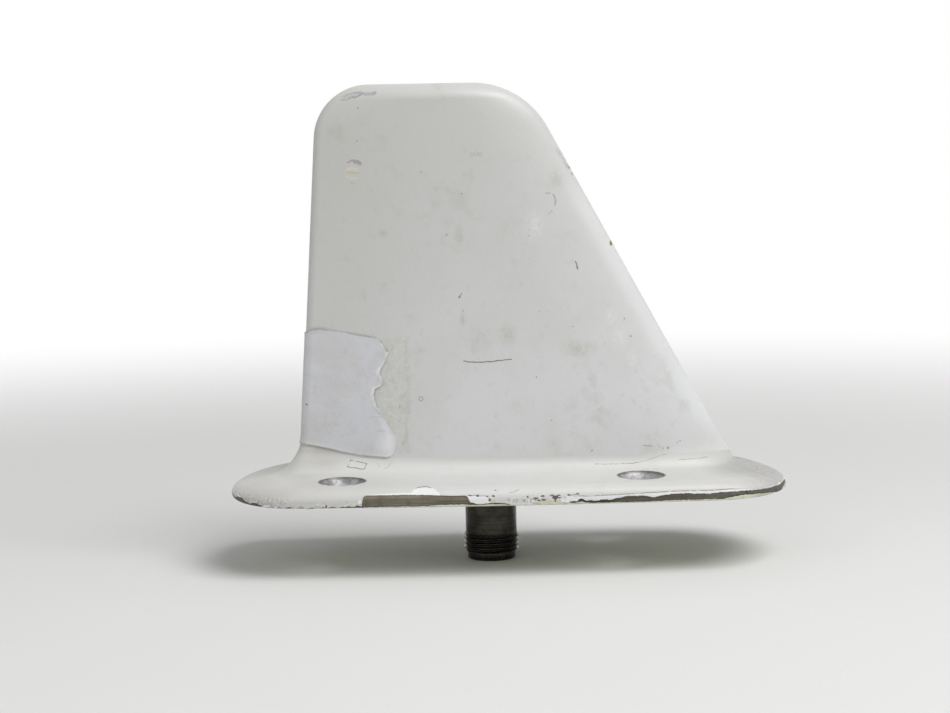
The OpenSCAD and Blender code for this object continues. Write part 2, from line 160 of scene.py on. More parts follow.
def edge_shift(z, lean, corner, d):
    """How far an edge stands in from its root: along a line that leans by so many degrees, then round an arc
    that touches the line and the blade's top. d moves both inwards, for the inside wall."""
    slope, top, arc = np.radians(lean), blade_top - d, max(corner - d, 1)
    run = arc * np.tan((np.pi / 2 - slope) / 2)
    line = (z - seat) * np.tan(slope) + d / np.cos(slope)
    line_top = (top - seat) * np.tan(slope) + d / np.cos(slope)
    bend = line_top + run - np.sqrt(np.clip(arc**2 - (z - top + arc) ** 2, 0, None))
    return np.where(z <= top - run * np.cos(slope), line, bend)


def chord_ends(z, d=0):
    """The leading and the trailing edge at a height."""
    return (
        leading_root - edge_shift(z, leading_sweep, leading_corner, d),
        trailing_root + edge_shift(z, trailing_lean, trailing_corner, d),
    )


def blade_plan(z, a, d=0):
    """The plan of the blade at height z and angle a, which is 0 at the nose and half a turn at the tail. The
    share of the chord is (1 - cos a) / 2; the half thickness is a quarter ellipse over the nose, a parabola
    down to the tail, a quarter ellipse again in the tail's rounding, and it shrinks as an ellipse towards
    the top."""
    fore, aft = chord_ends(z, d)
    s = (1 - np.cos(a)) / 2
    up = np.clip((z - seat) / (blade_top - seat), 0, 1)
    rise = np.clip((z - blade_top + d + tip_rounding) / tip_rounding, 0, 1) * np.sqrt(1 - tip_flat**2)
    half = (lerp(root_half, tip_half, up) - d) * np.sqrt(1 - rise**2)
    tail = max(tail_half - d, 0.35) / (root_half - d)
    nose = np.sqrt(np.clip(1 - (1 - s / nose_share) ** 2, 0, None))
    side = 1 - (1 - tail) * ((s - nose_share) / (1 - nose_share)) ** 2
    back = 1 - np.clip((1 - s) * (fore - aft) / trailing_rounding, 0, 1)
    y = np.sign(np.sin(a)) * half * np.where(s < nose_share, nose, side) * np.sqrt(1 - back**2)
    return fore - s * (fore - aft), y


print("blade from", round(seat, 2), "to", round(blade_top, 2), "mm; root chord", leading_root - trailing_root)

# %% [markdown]
# ## The root fillet
# Blade and foot run into each other through a fillet. Along the sides it is low and tight; at the two ends
# it climbs up the blade's edges and sweeps far out over the flange. A Bevel on the joint would have one
# width all round. Here the flange's outline and the blade's plan share one angle, and each point of the
# skin is pushed towards the flange's edge by a quarter ellipse whose width and height change along the way.

# %% The flange's outline and the fillet
flange_aft, flange_forward = (corner[0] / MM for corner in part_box("base_plate"))
flange_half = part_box("base_plate")[1][1] / MM
forward_end, aft_end, side_bow, crown_height = 15.3, 13.1, 1.3, 4.2
fillet_runs, fillet_rises = (3.2, 6.2, 2.4), (0.0, 5.0, 4.0)


def flange_edge(a):
    """The flange's outline at angle a round it: a flat parabola along each side, and a half ellipse at
    either end."""
    x = lerp(flange_forward, flange_aft, (1 - np.cos(a)) / 2)
    front, back = flange_forward - forward_end, flange_aft + aft_end
    middle = (front + back) / 2
    half = flange_half - side_bow * ((x - middle) / (front - middle)) ** 2
    q = np.maximum((x - front) / forward_end, (back - x) / aft_end)
    return x, np.sign(np.sin(a)) * half * np.sqrt(1 - np.clip(q, 0, 1) ** 2)


def at_ends(a, side, trailing, leading):
    """One value along the blade's sides that turns into others at its two ends, with the 8th power of the
    chord's share."""
    s = (1 - np.cos(a)) / 2
    return side + (trailing - side) * s**8 + (leading - side) * (1 - s) ** 8


def root_way(a):
    """The way from the blade's plan at its seat out to the flange's edge: its two parts and its length."""
    (x, y), (edge_x, edge_y) = blade_plan(seat, a), flange_edge(a)
    return edge_x - x, edge_y - y, np.hypot(edge_x - x, edge_y - y)


def fillet_out(z, a):
    """How far the fillet stands out at height z: its run times 1 - sqrt(1 - t^2), with t from 0 at its top
    to 1 at the crown."""
    top = seat + at_ends(a, *fillet_rises)
    t = np.clip((top - z) / (top - crown_height), 0, 1)
    return at_ends(a, *fillet_runs) * (1 - np.sqrt(1 - t**2))


def blade_skin(z, a, d=0):
    """A point of the blade's wall: its plan, and on the outside (d = 0) the fillet's push towards the
    flange's edge."""
    z, a = np.broadcast_arrays(np.asarray(z, float), np.asarray(a, float))
    x, y = blade_plan(z, a, d)
    if d == 0:
        way_x, way_y, way = root_way(a)
        x, y = x + way_x / way * fillet_out(z, a), y + way_y / way * fillet_out(z, a)
    return np.stack([x, y, z], -1)


flange_size = [round(flange_forward - flange_aft, 2), round(2 * flange_half, 2)]
print("flange", flange_size, "mm, fillet runs", fillet_runs)

# %% [markdown]
# ## The blade shell
# The real shell is a closed skin about 1.5 mm thick. It could be a flat outline that is extruded and
# beveled, but then nose, tail and top would all have the same rounding. Here the outside and the inside
# wall are two grids of the same function, joined below by the rim that stands on the foot, and closed above
# by narrow strips.

# %% The blade shell
columns, corner_reach = 300, 10.3
turn = np.arange(columns) * 2 * np.pi / columns


def heights(z0, d, straight, curved):
    """Rows up the blade: even steps up to the corners, then closer and closer together towards the top."""
    bend = blade_top - corner_reach - tip_rounding
    even = lerp(z0, bend, np.arange(straight) / straight)
    closing = lerp(bend, blade_top - d, np.sin(np.arange(curved + 1) / curved * np.pi / 2))
    return np.concatenate([even, closing])


def top_strip(first, count):
    """Quads across a thin ring, from each point to the one opposite, with a triangle at either end."""
    i = np.arange(1, count // 2 - 1)
    across = first + np.stack([i, i + 1, count - i - 1, count - i], -1)
    half = count // 2
    return across, first + np.array([[0, 1, count - 1], [half - 1, half, half + 1]])


def ring_to_first(start, count):
    """Quads between the ring of points that begins at number start and the first ring of a mesh."""
    ring = np.arange(count)
    after = np.roll(ring, -1)
    return np.stack([start + ring, start + after, after, ring], -1)


outside_z, inside_z = heights(seat, 0, 90, 90), heights(seat, shell_wall, 20, 24)
outside = blade_skin(outside_z[:, None], turn[None])
inside = blade_skin(inside_z[:, None], turn[None], shell_wall)
inner = outside.shape[0] * columns
blade = make_piece(
    "blade_shell",
    np.concatenate([outside.reshape(-1, 3), inside.reshape(-1, 3)]),
    grid_quads(len(outside_z), columns),
    inner + grid_quads(len(inside_z), columns)[:, ::-1],
    ring_to_first(inner, columns),
    *top_strip(inner - columns, columns),
    *(block[:, ::-1] for block in top_strip(inner + (len(inside_z) - 1) * columns, columns)),
    sharp=50,
)
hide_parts("radome")
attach(blade, "root")
report(blade)

# %% [markdown]
# ## The foot's form
# The foot is one aluminium casting, machined on its edge. An upright edge, a rounded shoulder and a gently
# rising crown lead to the fillet. Each point is a share of the way from the flange's edge to the root, so
# one profile makes it all, and both tips are feathered down.

# %% The foot's function
edge_height, shoulder_height, shoulder_share = 1.3, 3.9, 0.2
edge_break, edge_break_share = 0.2, 0.012
feather_starts, feather_shares = (40.1, -30.1), (0.5, 0.42)


def feather(x):
    """How much of its height the foot loses towards a tip: it grows with the square of the way there."""
    tips = zip(feather_starts, (flange_forward, flange_aft), feather_shares)
    return sum(share * np.clip((x - start) / (tip - start), 0, 1) ** 2 for start, tip, share in tips)


def foot_surface(w, z, a):
    """The point a share w of the way from the flange's edge to the root, at height z before feathering."""
    x, y = flange_edge(a)
    root = blade_skin(seat, a)
    x, y = lerp(x, root[..., 0], w), lerp(y, root[..., 1], w)
    return np.stack([x, y, z * (1 - feather(x) * (1 - w**4))], -1)


def foot_profile(a):
    """Shares and heights up the foot at angles a: a small break of the lower edge, the upright edge, a
    quarter ellipse for the shoulder, a straight crown, and the part of the fillet's quarter ellipse that
    lies below the seat."""
    rise, start = at_ends(a, *fillet_rises), fillet_out(seat, a)
    tall = seat + rise - crown_height
    steep = np.arcsin(rise / tall)
    fillet = (at_ends(a, *fillet_runs) - start) / (root_way(a)[2] - start)
    steps = lambda n: np.arange(1, n + 1)[:, None] / n
    low = np.arange(5)[:, None] / 4 * np.pi / 2
    over, climb = steps(34) * np.pi / 2, lerp(np.pi / 2, steep, steps(16))
    share = [
        edge_break_share * (1 - np.sin(low)),
        0 * steps(11),
        shoulder_share * (1 - np.cos(over)),
        lerp(shoulder_share, 1 - fillet, steps(10)),
        1 - fillet * (1 - np.cos(climb) / np.cos(steep)),
    ]
    height = [
        edge_break * (1 - np.cos(low)),
        lerp(edge_break, edge_height, steps(11)),
        lerp(edge_height, shoulder_height, np.sin(over)),
        lerp(shoulder_height, crown_height, steps(10)),
        crown_height + tall * (1 - np.sin(climb)),
    ]
    return tuple(np.concatenate([part + 0 * a for part in parts]) for parts in (share, height))


def even_angles(start, end, count):
    """Angles from start to end that space the flange's outline evenly along its length."""
    a = np.linspace(start, end, 8000)
    x, y = flange_edge(a)
    length = np.concatenate([[0], np.cumsum(np.hypot(np.diff(x), np.diff(y)))])
    return np.interp(np.arange(count) / count * length[-1], length, a)


around = np.concatenate([even_angles(0, np.pi, 200), even_angles(np.pi, 2 * np.pi, 760)])
print("the foot has", len(around), "columns, most of them on the near side, where the wear is")

# %% [markdown]
# ## Where the paint has gone
# Along the near edge the paint is chipped to bare metal: a long machined band towards the tail, a dark
# ragged band towards the nose, crumbs in between, and a white broken paint edge above them. Each kind of
# wear is a signed distance in millimetres, above zero where the wear is. The mesh sinks by it, and later
# the material reads the same numbers, so that relief and colour agree.

# %% Wear as signed distances
bare_near = np.array([
    (-52.1, 0.6), (-50.6, 0.7), (-50, 1.0), (-49, 1.12), (-48.6, 0.75), (-48, 0.5), (-47.2, 0.55),
    (-46.5, 0.75), (-45.6, 0.7), (-45, 0.6), (-44.5, 0.18), (-43.6, 0.2), (-42.9, 0.42), (-42, 0.16),
    (-41.2, 0.45), (-40.2, 0.15), (-39.2, 0.4), (-38, 0.12), (-37.1, 0.4), (-36, 0.12), (-35.2, 0.4),
    (-34, 0.1), (-33, 0.42), (-32.2, 0.2), (-31, 0.4), (-30, 0.18), (-29.2, 0.46), (-28.4, 0.24),
    (-27.6, 0.5), (-27, 0.3), (-26, 0.55), (-25.3, 0.4), (-25.2, 1.9), (-24.9, 2.25), (-24.3, 2.5),
    (-17.7, 2.5), (-13, 2.45), (-8.8, 2.22), (-5.3, 2.17), (-4.9, 1.9), (-4.4, 0.9), (-3, 0.52), (-0.6, 0.62),
    (1.2, 0.68), (2.8, 0.45), (3.4, 0.25), (6, 0.12), (10, 0.1), (14.5, 0.3), (15, 0.72), (15.9, 0.7),
    (16.1, 0.5), (16.4, 1.05), (16.8, 1.22), (17.3, 1.0), (17.8, 0.72), (18.2, 0.8), (18.8, 0.92),
    (19.4, 0.8), (19.8, 0.66), (20.4, 0.72), (21.1, 0.85), (22.4, 0.8), (23.6, 1.1), (26.1, 1.42),
    (29.4, 1.43), (30.3, 1.15), (31.3, 1.06), (32.8, 1.45), (35.2, 1.64), (38.6, 1.6), (41.9, 1.46),
    (43.5, 1.6), (45.4, 1.75), (47.8, 1.72), (52, 1.45), (55.5, 1.36), (57.7, 1.35), (59.6, 1.3),
])
bare_far = np.array([
    (-52.1, 0.7), (-51, 0.7), (-49, 0.5), (-45, 0.25), (-30, 0.12), (0, 0.1), (30, 0.14), (45, 0.3),
    (51, 0.6), (55, 0.95), (58, 1.2), (59.6, 1.3),
])
ragged = np.array([
    (-52, 0.3), (-40, 0.3), (-26, 0.26), (-24.6, 0.07), (-6, 0.08), (0, 0.14), (15, 0.28), (22, 0.28),
    (25, 0.16), (60, 0.17),
])
broken = np.array([
    (-24.6, 0), (-24.4, 2.6), (-20, 2.8), (-15.6, 2.88), (-15.2, 3.4), (-14.2, 3.68), (-12.8, 3.74),
    (-11.4, 3.5), (-10.2, 2.75), (-9.7, 0), (-5.2, 0), (-5.0, 2.3), (-4.3, 2.16), (-3.4, 2.25), (-2.6, 2.05),
    (-1.7, 2.12), (-0.95, 1.85), (-0.7, 0.9), (-0.6, 0), (13.8, 0), (14.2, 1.8), (16.3, 2.05), (16.6, 1.68),
    (18.7, 1.6), (21, 1.75), (23.6, 1.75), (29.4, 1.94), (35.5, 2.12), (42.6, 2.07), (45.8, 2.2), (49, 1.95),
    (51, 1.6), (52.5, 1.3), (53.4, 1.35), (54.3, 1.55), (55.2, 1.62), (55.9, 1.45), (56.8, 1.62),
    (57.6, 1.48), (58.4, 1.58), (59.2, 1.5), (59.6, 1.2),
])
primed = np.array([
    (-25.4, -0.3), (-25, 0.26), (-20, 0.3), (-13, 0.3), (-11.5, 0.48), (-6, 0.5), (-3, 0.38), (0, 0.46),
    (2, 0.44), (3.4, 0.3), (5, 0.2), (7, 0.15), (8.5, 0.35), (10, 0.55), (12, 0.6), (14, 0.5), (15.6, 0.34),
    (16.2, 0.56), (17, 0.6), (18, 0.34), (19, 0.26), (22, 0.24), (25, 0.3), (29, 0.24), (33, 0.34),
    (35, 0.42), (37, 0.34), (42, 0.4), (44.4, 0.3), (44.9, 0.5), (47, 0.72), (49, 0.86), (52, 0.66),
    (54.5, 0.42), (55.8, 0.1), (57.2, 0.1), (58.2, 0.6), (58.9, 0.95), (59.4, 0.9), (59.6, 0.3),
])
dark_chips = np.array([
    (-32.1, 0.62, 0.12, 0.4), (-4.3, 2.22, 0.36, 0.13), (-3, 2.12, 0.3, 0.16), (-1.15, 2, 0.22, 0.16),
    (-0.65, 1.3, 0.17, 0.4), (-0.05, 1.98, 0.34, 0.16), (0.45, 2.95, 0.2, 0.17), (6.6, 1.8, 0.24, 0.19),
    (8.15, 1.38, 0.46, 0.17), (9.5, 1.78, 0.34, 0.14), (9.8, 1.12, 0.38, 0.16), (8.8, 0.95, 0.34, 0.17),
    (8.65, 0.22, 0.4, 0.2), (11.9, 1.5, 0.58, 0.44), (11.25, 1.95, 0.36, 0.13), (12.55, 1.88, 0.36, 0.13),
    (11.95, 0.9, 0.18, 0.44), (12.6, 1.4, 0.4, 0.13), (14.55, 1.95, 0.34, 0.14), (16.2, 2.1, 0.36, 0.13),
])
cream_chips = np.array([
    (11.2, 0.55, 2.1, 0.52), (0, 1.08, 0.65, 0.3), (15.7, 1.76, 1.1, 0.16), (8.9, 0.75, 0.8, 0.35),
])
white_chips = np.array([
    (13.5, 1.05, 0.5, 0.42), (-37.2, 0.3, 0.4, 0.16), (-34.7, 0.3, 0.5, 0.16), (-33.1, 0.35, 0.35, 0.22),
    (-31.9, 0.4, 0.3, 0.24), (-25.6, 1.4, 0.3, 0.5), (7.6, 0.9, 0.5, 0.3), (-49.8, 1.22, 0.55, 0.2),
    (-46.5, 0.9, 0.5, 0.18), (-43.6, 0.5, 0.6, 0.2), (-41.8, 0.4, 0.5, 0.18),
])


def patches(x, z, spots):
    """How far a point lies inside the nearest of some oval patches: one minus its distance in radii, in
    millimetres. Noise bends the way there, so no patch stays a plain oval."""
    x, z = x + 0.3 * mottle(x * 1.7, z * 1.7 + 60, 4), z + 0.2 * mottle(x * 2.1 + 50, z * 2.1, 4)
    middle_x, middle_z, wide, tall = spots.T
    near = 1 - np.hypot((x[..., None] - middle_x) / wide, (z[..., None] - middle_z) / tall)
    return (near * np.minimum(wide, tall)).max(-1)


def wear(points):
    """Signed distances of each kind of wear: a height read off along x, made ragged by noise, less the
    point's own height. The far side has only a thin worn line, which grows towards the tips."""
    x, y, z = (points[..., k] for k in range(3))
    near = y < 0
    rag = np.interp(x, *ragged.T)
    wander = x + 0.9 * rag * mottle(z * 2.3 + 5, x * 0.8, 3)
    uneven = rag * (0.7 * mottle(x * 1.1, z * 1.1 + 3, 3) + 0.8 * mottle(x * 4.1, z * 4.1, 3))
    bare = np.where(near, np.interp(wander, *bare_near.T), np.interp(wander, *bare_far.T)) + uneven - z
    small = 0.1 * mottle(x * 2.7, z * 2.7 + 11, 4)
    fresh = np.maximum(np.interp(x, *broken.T) - z, patches(x, z, white_chips)) + 0.6 * small
    primer = np.interp(x, *primed.T) + small - z
    chip, cream = patches(x, z, dark_chips) + 0.5 * small, patches(x, z, cream_chips) + small
    near_only = {"fresh": fresh, "primer": primer, "chip": chip, "cream": cream}
    return {"bare": bare, **{kind: np.where(near, value, -1.0) for kind, value in near_only.items()}}


tables = (bare_near, broken, primed, dark_chips, cream_chips)
print("wear is read from", sum(map(len, tables)), "measured places")

# %% [markdown]
# ## The foot, solid
# The grid of the foot is closed with a flat mounting face below and with the tenon inside the blade above.
# Then the paint is lifted off: points inside the wear move inwards by the thickness of the coat.

# %% The foot's body
def closed_piece(name, rows, ends):
    """A solid from a stack of rings, whose first and last ring are closed to two end points."""
    turns = rows.shape[1]
    count, circle = len(rows) * turns, np.arange(turns)
    return make_piece(
        name,
        np.concatenate([rows.reshape(-1, 3), ends]),
        grid_quads(len(rows), turns),
        fan(circle[::-1], count),
        fan(circle + count - turns, count + 1),
    )


share, height = foot_profile(around[None])
upper = foot_surface(share, height, around[None])
across, along = np.roll(upper, -1, 1) - np.roll(upper, 1, 1), np.gradient(upper, axis=0)
outward = np.cross(across, along)
outward /= np.maximum(np.linalg.norm(outward, axis=-1, keepdims=True), 1e-9)
lost = wear(upper)
metal_depth, fresh_depth, chip_depth, primer_share, edge_share = 0.17, 0.07, 0.13, 0.6, 0.3
coat = metal_depth * ease(lost["bare"], -0.06, 0.06) * (1 - primer_share * ease(lost["primer"], -0.05, 0.05))
coat = np.maximum(coat, fresh_depth * ease(lost["fresh"], -0.05, 0.05))
coat = np.maximum(coat, chip_depth * ease(lost["chip"], -0.05, 0.08))
upper = upper - outward * (coat * (share < edge_share))[..., None]

tenon_gap, tenon_top = 0.15, seat + 5
tenon = np.stack([blade_skin(level, around, shell_wall + tenon_gap) for level in (seat, tenon_top)])
below = np.stack([upper[0] * (scale, scale, 0) for scale in (0.25, 0.5, 0.8, 0.96)])
foot = closed_piece("foot", np.concatenate([below, upper, tenon]), [(0, 0, 0), (0, 0, tenon_top)])
report(foot)

# %% [markdown]
# ## Screw holes and the jack's seat
# Four flush screws held the foot, so each hole has a 100 degree countersink, and the jack sits in a stepped
# bore. A drill is a turned shape: a profile carried round an axis. Cutting real holes with a Boolean keeps
# the rims exact where the crown is curved. The result is stored as a plain mesh, and the drills are thrown
# away.

# %% Drilling the foot
def turned(profile, turns, centre=(0, 0)):
    """A profile of radii and heights carried round an upright axis, as a grid of rows up the profile."""
    r, z = (np.asarray(profile, float)[:, k][:, None] for k in range(2))
    angle = np.arange(turns)[None] * 2 * np.pi / turns
    return np.stack([centre[0] + r * np.cos(angle), centre[1] + r * np.sin(angle), z + 0 * angle], -1)


def drill(name, profile, centre, turns=96):
    """A closed cutter: the turned profile with its first and last ring closed to a point on the axis."""
    ends = [(*centre, profile[0][1]), (*centre, profile[-1][1])]
    return closed_piece(name, turned(profile, turns, centre), ends)


pattern = next(m for m in frame["record"]["mounts"] if m["name"] == "mounting_holes")["dims"]
hole_x, hole_y, hole_r = pattern["spacing_x_mm"] / 2, pattern["spacing_y_mm"] / 2, pattern["hole_r_mm"]
sink_r, hole_top, half_cone = 4.7, 4.07, 50
cone = (sink_r - hole_r) / np.tan(np.radians(half_cone))
screw = [(hole_r, -1), (hole_r, hole_top - cone), (sink_r, hole_top), (sink_r, 6)]
seat_r, shank_bore, pin_bore, seat_top, shank_end = 5.2, 4.55, 2.05, 1.6, 5.55
bore = [(seat_r, -1), (seat_r, seat_top), (shank_bore, seat_top), (shank_bore, shank_end)]
bore += [(pin_bore, shank_end), (pin_bore, 13)]
drills = [drill("drill", screw, (sx * hole_x, sy * hole_y)) for sx in (-1, 1) for sy in (-1, 1)]
drills.append(drill("drill", bore, (0, 0)))
bright = bpy.data.materials.new("bare_cut_metal")
painted = bpy.data.materials.new("chipped_foot_paint")
primed_face = bpy.data.materials.new("primed_mounting_face")
foot.data.materials.append(painted)
for tool in drills:
    tool.data.materials.append(bright)
    cut = foot.modifiers.new("cut", "BOOLEAN")
    cut.object, cut.operation, cut.solver, cut.material_mode = tool, "DIFFERENCE", "EXACT", "TRANSFER"
drilled = bpy.data.meshes.new_from_object(foot.evaluated_get(bpy.context.evaluated_depsgraph_get()))
foot.modifiers.clear()
foot.data = drilled
foot.data.name = "foot"
for tool in drills:
    bpy.data.objects.remove(tool)
print("holes at", hole_x, "x", hole_y, "mm; materials:", [m.name for m in foot.data.materials])
report(foot)

# %% [markdown]
# ## Wear that a material can read
# The drilled mesh has new points round its holes, so the signed distances are worked out again and kept as
# attributes, one number of each kind to a point. A picture could hold them too, but it would need a UV map
# and have pixels. The flat mounting face was primed and never painted, so its faces get a material of their
# own.

# %% The foot's wear as attributes
def read_all(items, key, width=1, kind=np.float32):
    """One property of all points or faces of a mesh, as rows of so many numbers."""
    values = np.empty(len(items) * width, kind)
    items.foreach_get(key, values)
    return values.reshape(-1, width)


def store(piece, name, values):
    """Keeps one number for each point of a piece, where its material can read it."""
    values = np.ravel(values).astype(np.float32)
    piece.data.attributes.new(name, "FLOAT", "POINT").data.foreach_set("value", values)


place = read_all(foot.data.vertices, "co", 3) / MM
for kind, distance in wear(place).items():
    store(foot, kind, np.clip(distance, -2, 2))

faces = foot.data.polygons
normals, centres = read_all(faces, "normal", 3), read_all(faces, "center", 3)
slots = read_all(faces, "material_index", 1, np.int32).ravel()
underneath = (normals[:, 2] < -0.9) & (np.abs(centres[:, 2]) < 0.02 * MM)
foot.data.materials.append(primed_face)
slots[underneath] = len(foot.data.materials) - 1
faces.foreach_set("material_index", slots)
foot.data.shade_smooth()
foot.data.set_sharp_from_angle(angle=np.radians(32))
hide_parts("base_plate")
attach(foot, "root")
print("faces by material:", np.bincount(slots).tolist())

# %% [markdown]
# ## The jack
# Below the foot hangs a coaxial jack, turned from brass and plated: a plain barrel, a fine right-handed
# thread and a short nose. In the CAD the thread is a smooth cylinder. Here the rows of the thread also
# follow a helix: the groove's place at a point is its height in pitches less its share of a turn.

# %% The jack's body
pitch, depth, crest_flat, ramp = 0.907, 0.5, 0.14, 0.74
nose_end, thread_end, thread_start, barrel_top, shank_top = -14.2, -12.7, -8.7, 1.6, 5.5
nose_r, thread_r, barrel_r, shank_r, mouth_r, ring_r, throat_r = 4.8, 5.55, 5.15, 4.5, 4.05, 3.3, 2.425
mouth_floor, ring_floor = -5.9, -3.0
chamfer_r, chamfer, fade = 5.0, 0.45, 0.55
turns_round = 144


def thread_radius(z, angle):
    """The thread's radius: the major radius less a groove with flat crests and roots. It starts from a
    chamfer below and fades out above, where the tool left the metal."""
    phase = (z / pitch - angle / (2 * np.pi)) % 1
    groove = np.clip((np.abs(2 * phase - 1) - crest_flat) / ramp, 0, 1)
    start, leave = np.clip((z - thread_end) / chamfer, 0, 1), ease(thread_start - z, 0, fade)
    crest = lerp(chamfer_r, thread_r, start) * leave + barrel_r * (1 - leave)
    return np.minimum(crest, thread_r - depth * groove * leave - (thread_r - barrel_r) * (1 - leave))


angle = np.arange(turns_round)[None] * 2 * np.pi / turns_round
threaded = np.linspace(thread_end + 0.02, thread_start - 0.02, 136)[:, None]
thread = thread_radius(threaded, angle)
lower = [(mouth_r, z) for z in (mouth_floor, -9.0, -12.0, nose_end + 0.25)]
lower += [(4.2, nose_end), (4.5, nose_end), (4.6, nose_end + 0.03), (4.74, nose_end + 0.12)]
lower += [(nose_r, nose_end + 0.3), (nose_r, thread_end - 0.25), (4.78, thread_end - 0.05)]
rise = [(barrel_r, z) for z in (thread_start, -8.0, -6.5, -5.0, -3.5, -2.0, -0.5, 0.8, barrel_top - 0.1)]
rise += [(5.05, barrel_top), (shank_r, barrel_top), (shank_r, 3.5), (shank_r, shank_top)]
rise += [(ring_r, shank_top), (ring_r, ring_floor), (throat_r, ring_floor), (throat_r, mouth_floor)]
lower, rise = turned(lower, turns_round), turned(rise, turns_round)
helix = np.stack([thread * np.cos(angle), thread * np.sin(angle), threaded + 0 * angle], -1)
barrel = np.concatenate([lower, helix, rise])
jack = make_piece(
    "jack_shell",
    barrel.reshape(-1, 3),
    grid_quads(len(barrel), turns_round),
    ring_to_first((len(barrel) - 1) * turns_round, turns_round),
    sharp=38,
)
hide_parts("connector_shell")
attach(jack, "root")
report(jack)

# %% [markdown]
# ## The torn label
# A paper label is wrapped round the trailing edge, and its forward end is torn. It could be a plane with
# Solidify, but then it would be equally thick everywhere. Here both faces are grids on the blade's own
# function: columns go round the tail, rows go up between the slanting edges, and each row ends where the
# tear is. The torn fibres stand up a little, and low down the end is rubbed thin.

# %% The label's sheet
torn_reach = np.array([
    (0, 17.2), (0.012, 17.9), (0.04, 18.4), (0.09, 18.7), (0.16, 18.6), (0.22, 17.8), (0.28, 16.9),
    (0.384, 15.5), (0.426, 14.7), (0.509, 14.05), (0.572, 14.3), (0.606, 15.45), (0.655, 15.75),
    (0.703, 15.0), (0.78, 15.6), (0.828, 16.1), (0.891, 16.7), (0.94, 15.6), (0.975, 14.9), (1, 14.1),
])
fibre_width = np.array([
    (0.35, 0), (0.41, 0.4), (0.44, 0.75), (0.48, 0.95), (0.53, 0.8), (0.57, 0.6), (0.59, 0.3), (0.63, 0.15),
    (0.66, 0.7), (0.73, 0.8), (0.77, 0.35), (0.83, 0.1), (0.88, 0.35), (0.95, 0.45), (1, 0.2),
])
lower_edge = np.array([
    (-8, 11.4), (0, 10.05), (1.3, 9.84), (5.6, 9.0), (9.7, 8.05), (13.6, 7.45), (16.7, 7.2), (19, 7.2),
])
upper_edge = np.array([
    (-8, 33.6), (-2, 32.6), (0, 32.3), (1.4, 33.0), (2.9, 33.2), (4.3, 32.85), (8.8, 32.25), (14.1, 31.3),
    (19, 30.4),
])
glue, paper = 0.12, 0.15
tail_low, tail_high, far_wrap = 10.05, 32.3, 8
v = np.linspace(0, 1, 150)[:, None]
u = np.linspace(0, 1, 150)[None]


def label_faces(u, v):
    """Points of the label's upper and under face. The angle round the section goes from the wrap on the far
    side to the tear, and the height lies between the two edges. The under face stands off by the glue, the
    upper one by the paper too; both rise in the curl of the tear, and both sink where the end is rubbed
    thin."""
    z_tail = lerp(tail_low, tail_high, v)
    fore, aft = chord_ends(z_tail)
    chord = fore - aft
    width = np.interp(v, *fibre_width.T)
    torn = ease(v, 0.33, 0.4)
    reach = np.interp(v, *torn_reach.T) + 0.2 * torn * mottle(v * 60, 0 * v + 2, 3)
    reach += 0.03 * mottle(v * 30, 0 * v + 7, 2)
    start, end = np.arccos(2 * far_wrap / chord - 1), 2 * np.pi - np.arccos(2 * reach / chord - 1)
    a = lerp(start, end, u)
    ahead = np.sign(a - np.pi) * chord * (1 + np.cos(a)) / 2
    z = lerp(np.interp(ahead, *lower_edge.T), np.interp(ahead, *upper_edge.T), v)
    to_tear = reach - ahead
    curled = np.clip(width, 0, 1) * (0.8 + 0.2 * mottle(v * 45, to_tear, 2))
    curl = 0.26 * np.exp(-((to_tear / 0.5) ** 2)) * curled
    corner_lift = 0.14 * ease(v, 0.95, 1) * np.exp(-(((ahead - 2.5) / 2) ** 2))
    ripple = 0.03 * mottle(ahead * 0.5 + 40, z * 0.5, 3)
    thin = 1 - 0.85 * (1 - torn) * ease(v, 0, 0.05) * (1 - ease(to_tear, 0, 1.8))
    lift = (glue + np.maximum(ripple, -0.05)) * thin + curl + corner_lift
    side = blade_skin(z, a + 0.01) - blade_skin(z, a - 0.01)
    side /= np.linalg.norm(side, axis=-1, keepdims=True)
    out = np.stack([side[..., 1], -side[..., 0], 0 * z], -1)
    skin = blade_skin(z, a)
    fibres = width * (1 + 0.45 * mottle(z * 1.6, to_tear * 1.2 + 9, 3)) - to_tear
    return skin + out * (lift + paper * thin)[..., None], skin + out * lift[..., None], fibres


upper_face, under_face, fibres = label_faces(u, v)
count = v.size * u.size
number = np.arange(count).reshape(v.size, u.size)
loop = np.concatenate([number[0, :-1], number[:-1, -1], number[-1, :0:-1], number[:0:-1, 0]])
after = np.roll(loop, -1)
label_quads = grid_quads(v.size, u.size, closed=False)
label = make_piece(
    "torn_label",
    np.concatenate([upper_face.reshape(-1, 3), under_face.reshape(-1, 3)]),
    label_quads,
    count + label_quads[:, ::-1],
    np.stack([after, loop, loop + count, after + count], -1),
    sharp=60,
)
for name, value in {"fibres": fibres, "up": v + 0 * u}.items():
    store(label, name, np.tile(value.ravel(), 2))
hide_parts("paper_label")
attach(label, "root")
report(label)

# %% [markdown]
# ## Writing materials as sums
# A finish is a handful of masks and colours. Drawing its nodes one by one would hide the idea, so one small
# class wraps a socket and lets Python's operators add the Math nodes, and another adds any other node from
# its type, its settings and its sockets. Positions are Object coordinates in millimetres, so patterns have
# their true size.

# %% Sockets with operators
def operator(operation, swapped=False):
    """A method that adds a Math node of one operation, with its two values swapped in a reflected form."""
    def method(self, *other):
        return self.finish.maths(operation, *((*other, self) if swapped else (self, *other)))
    return method


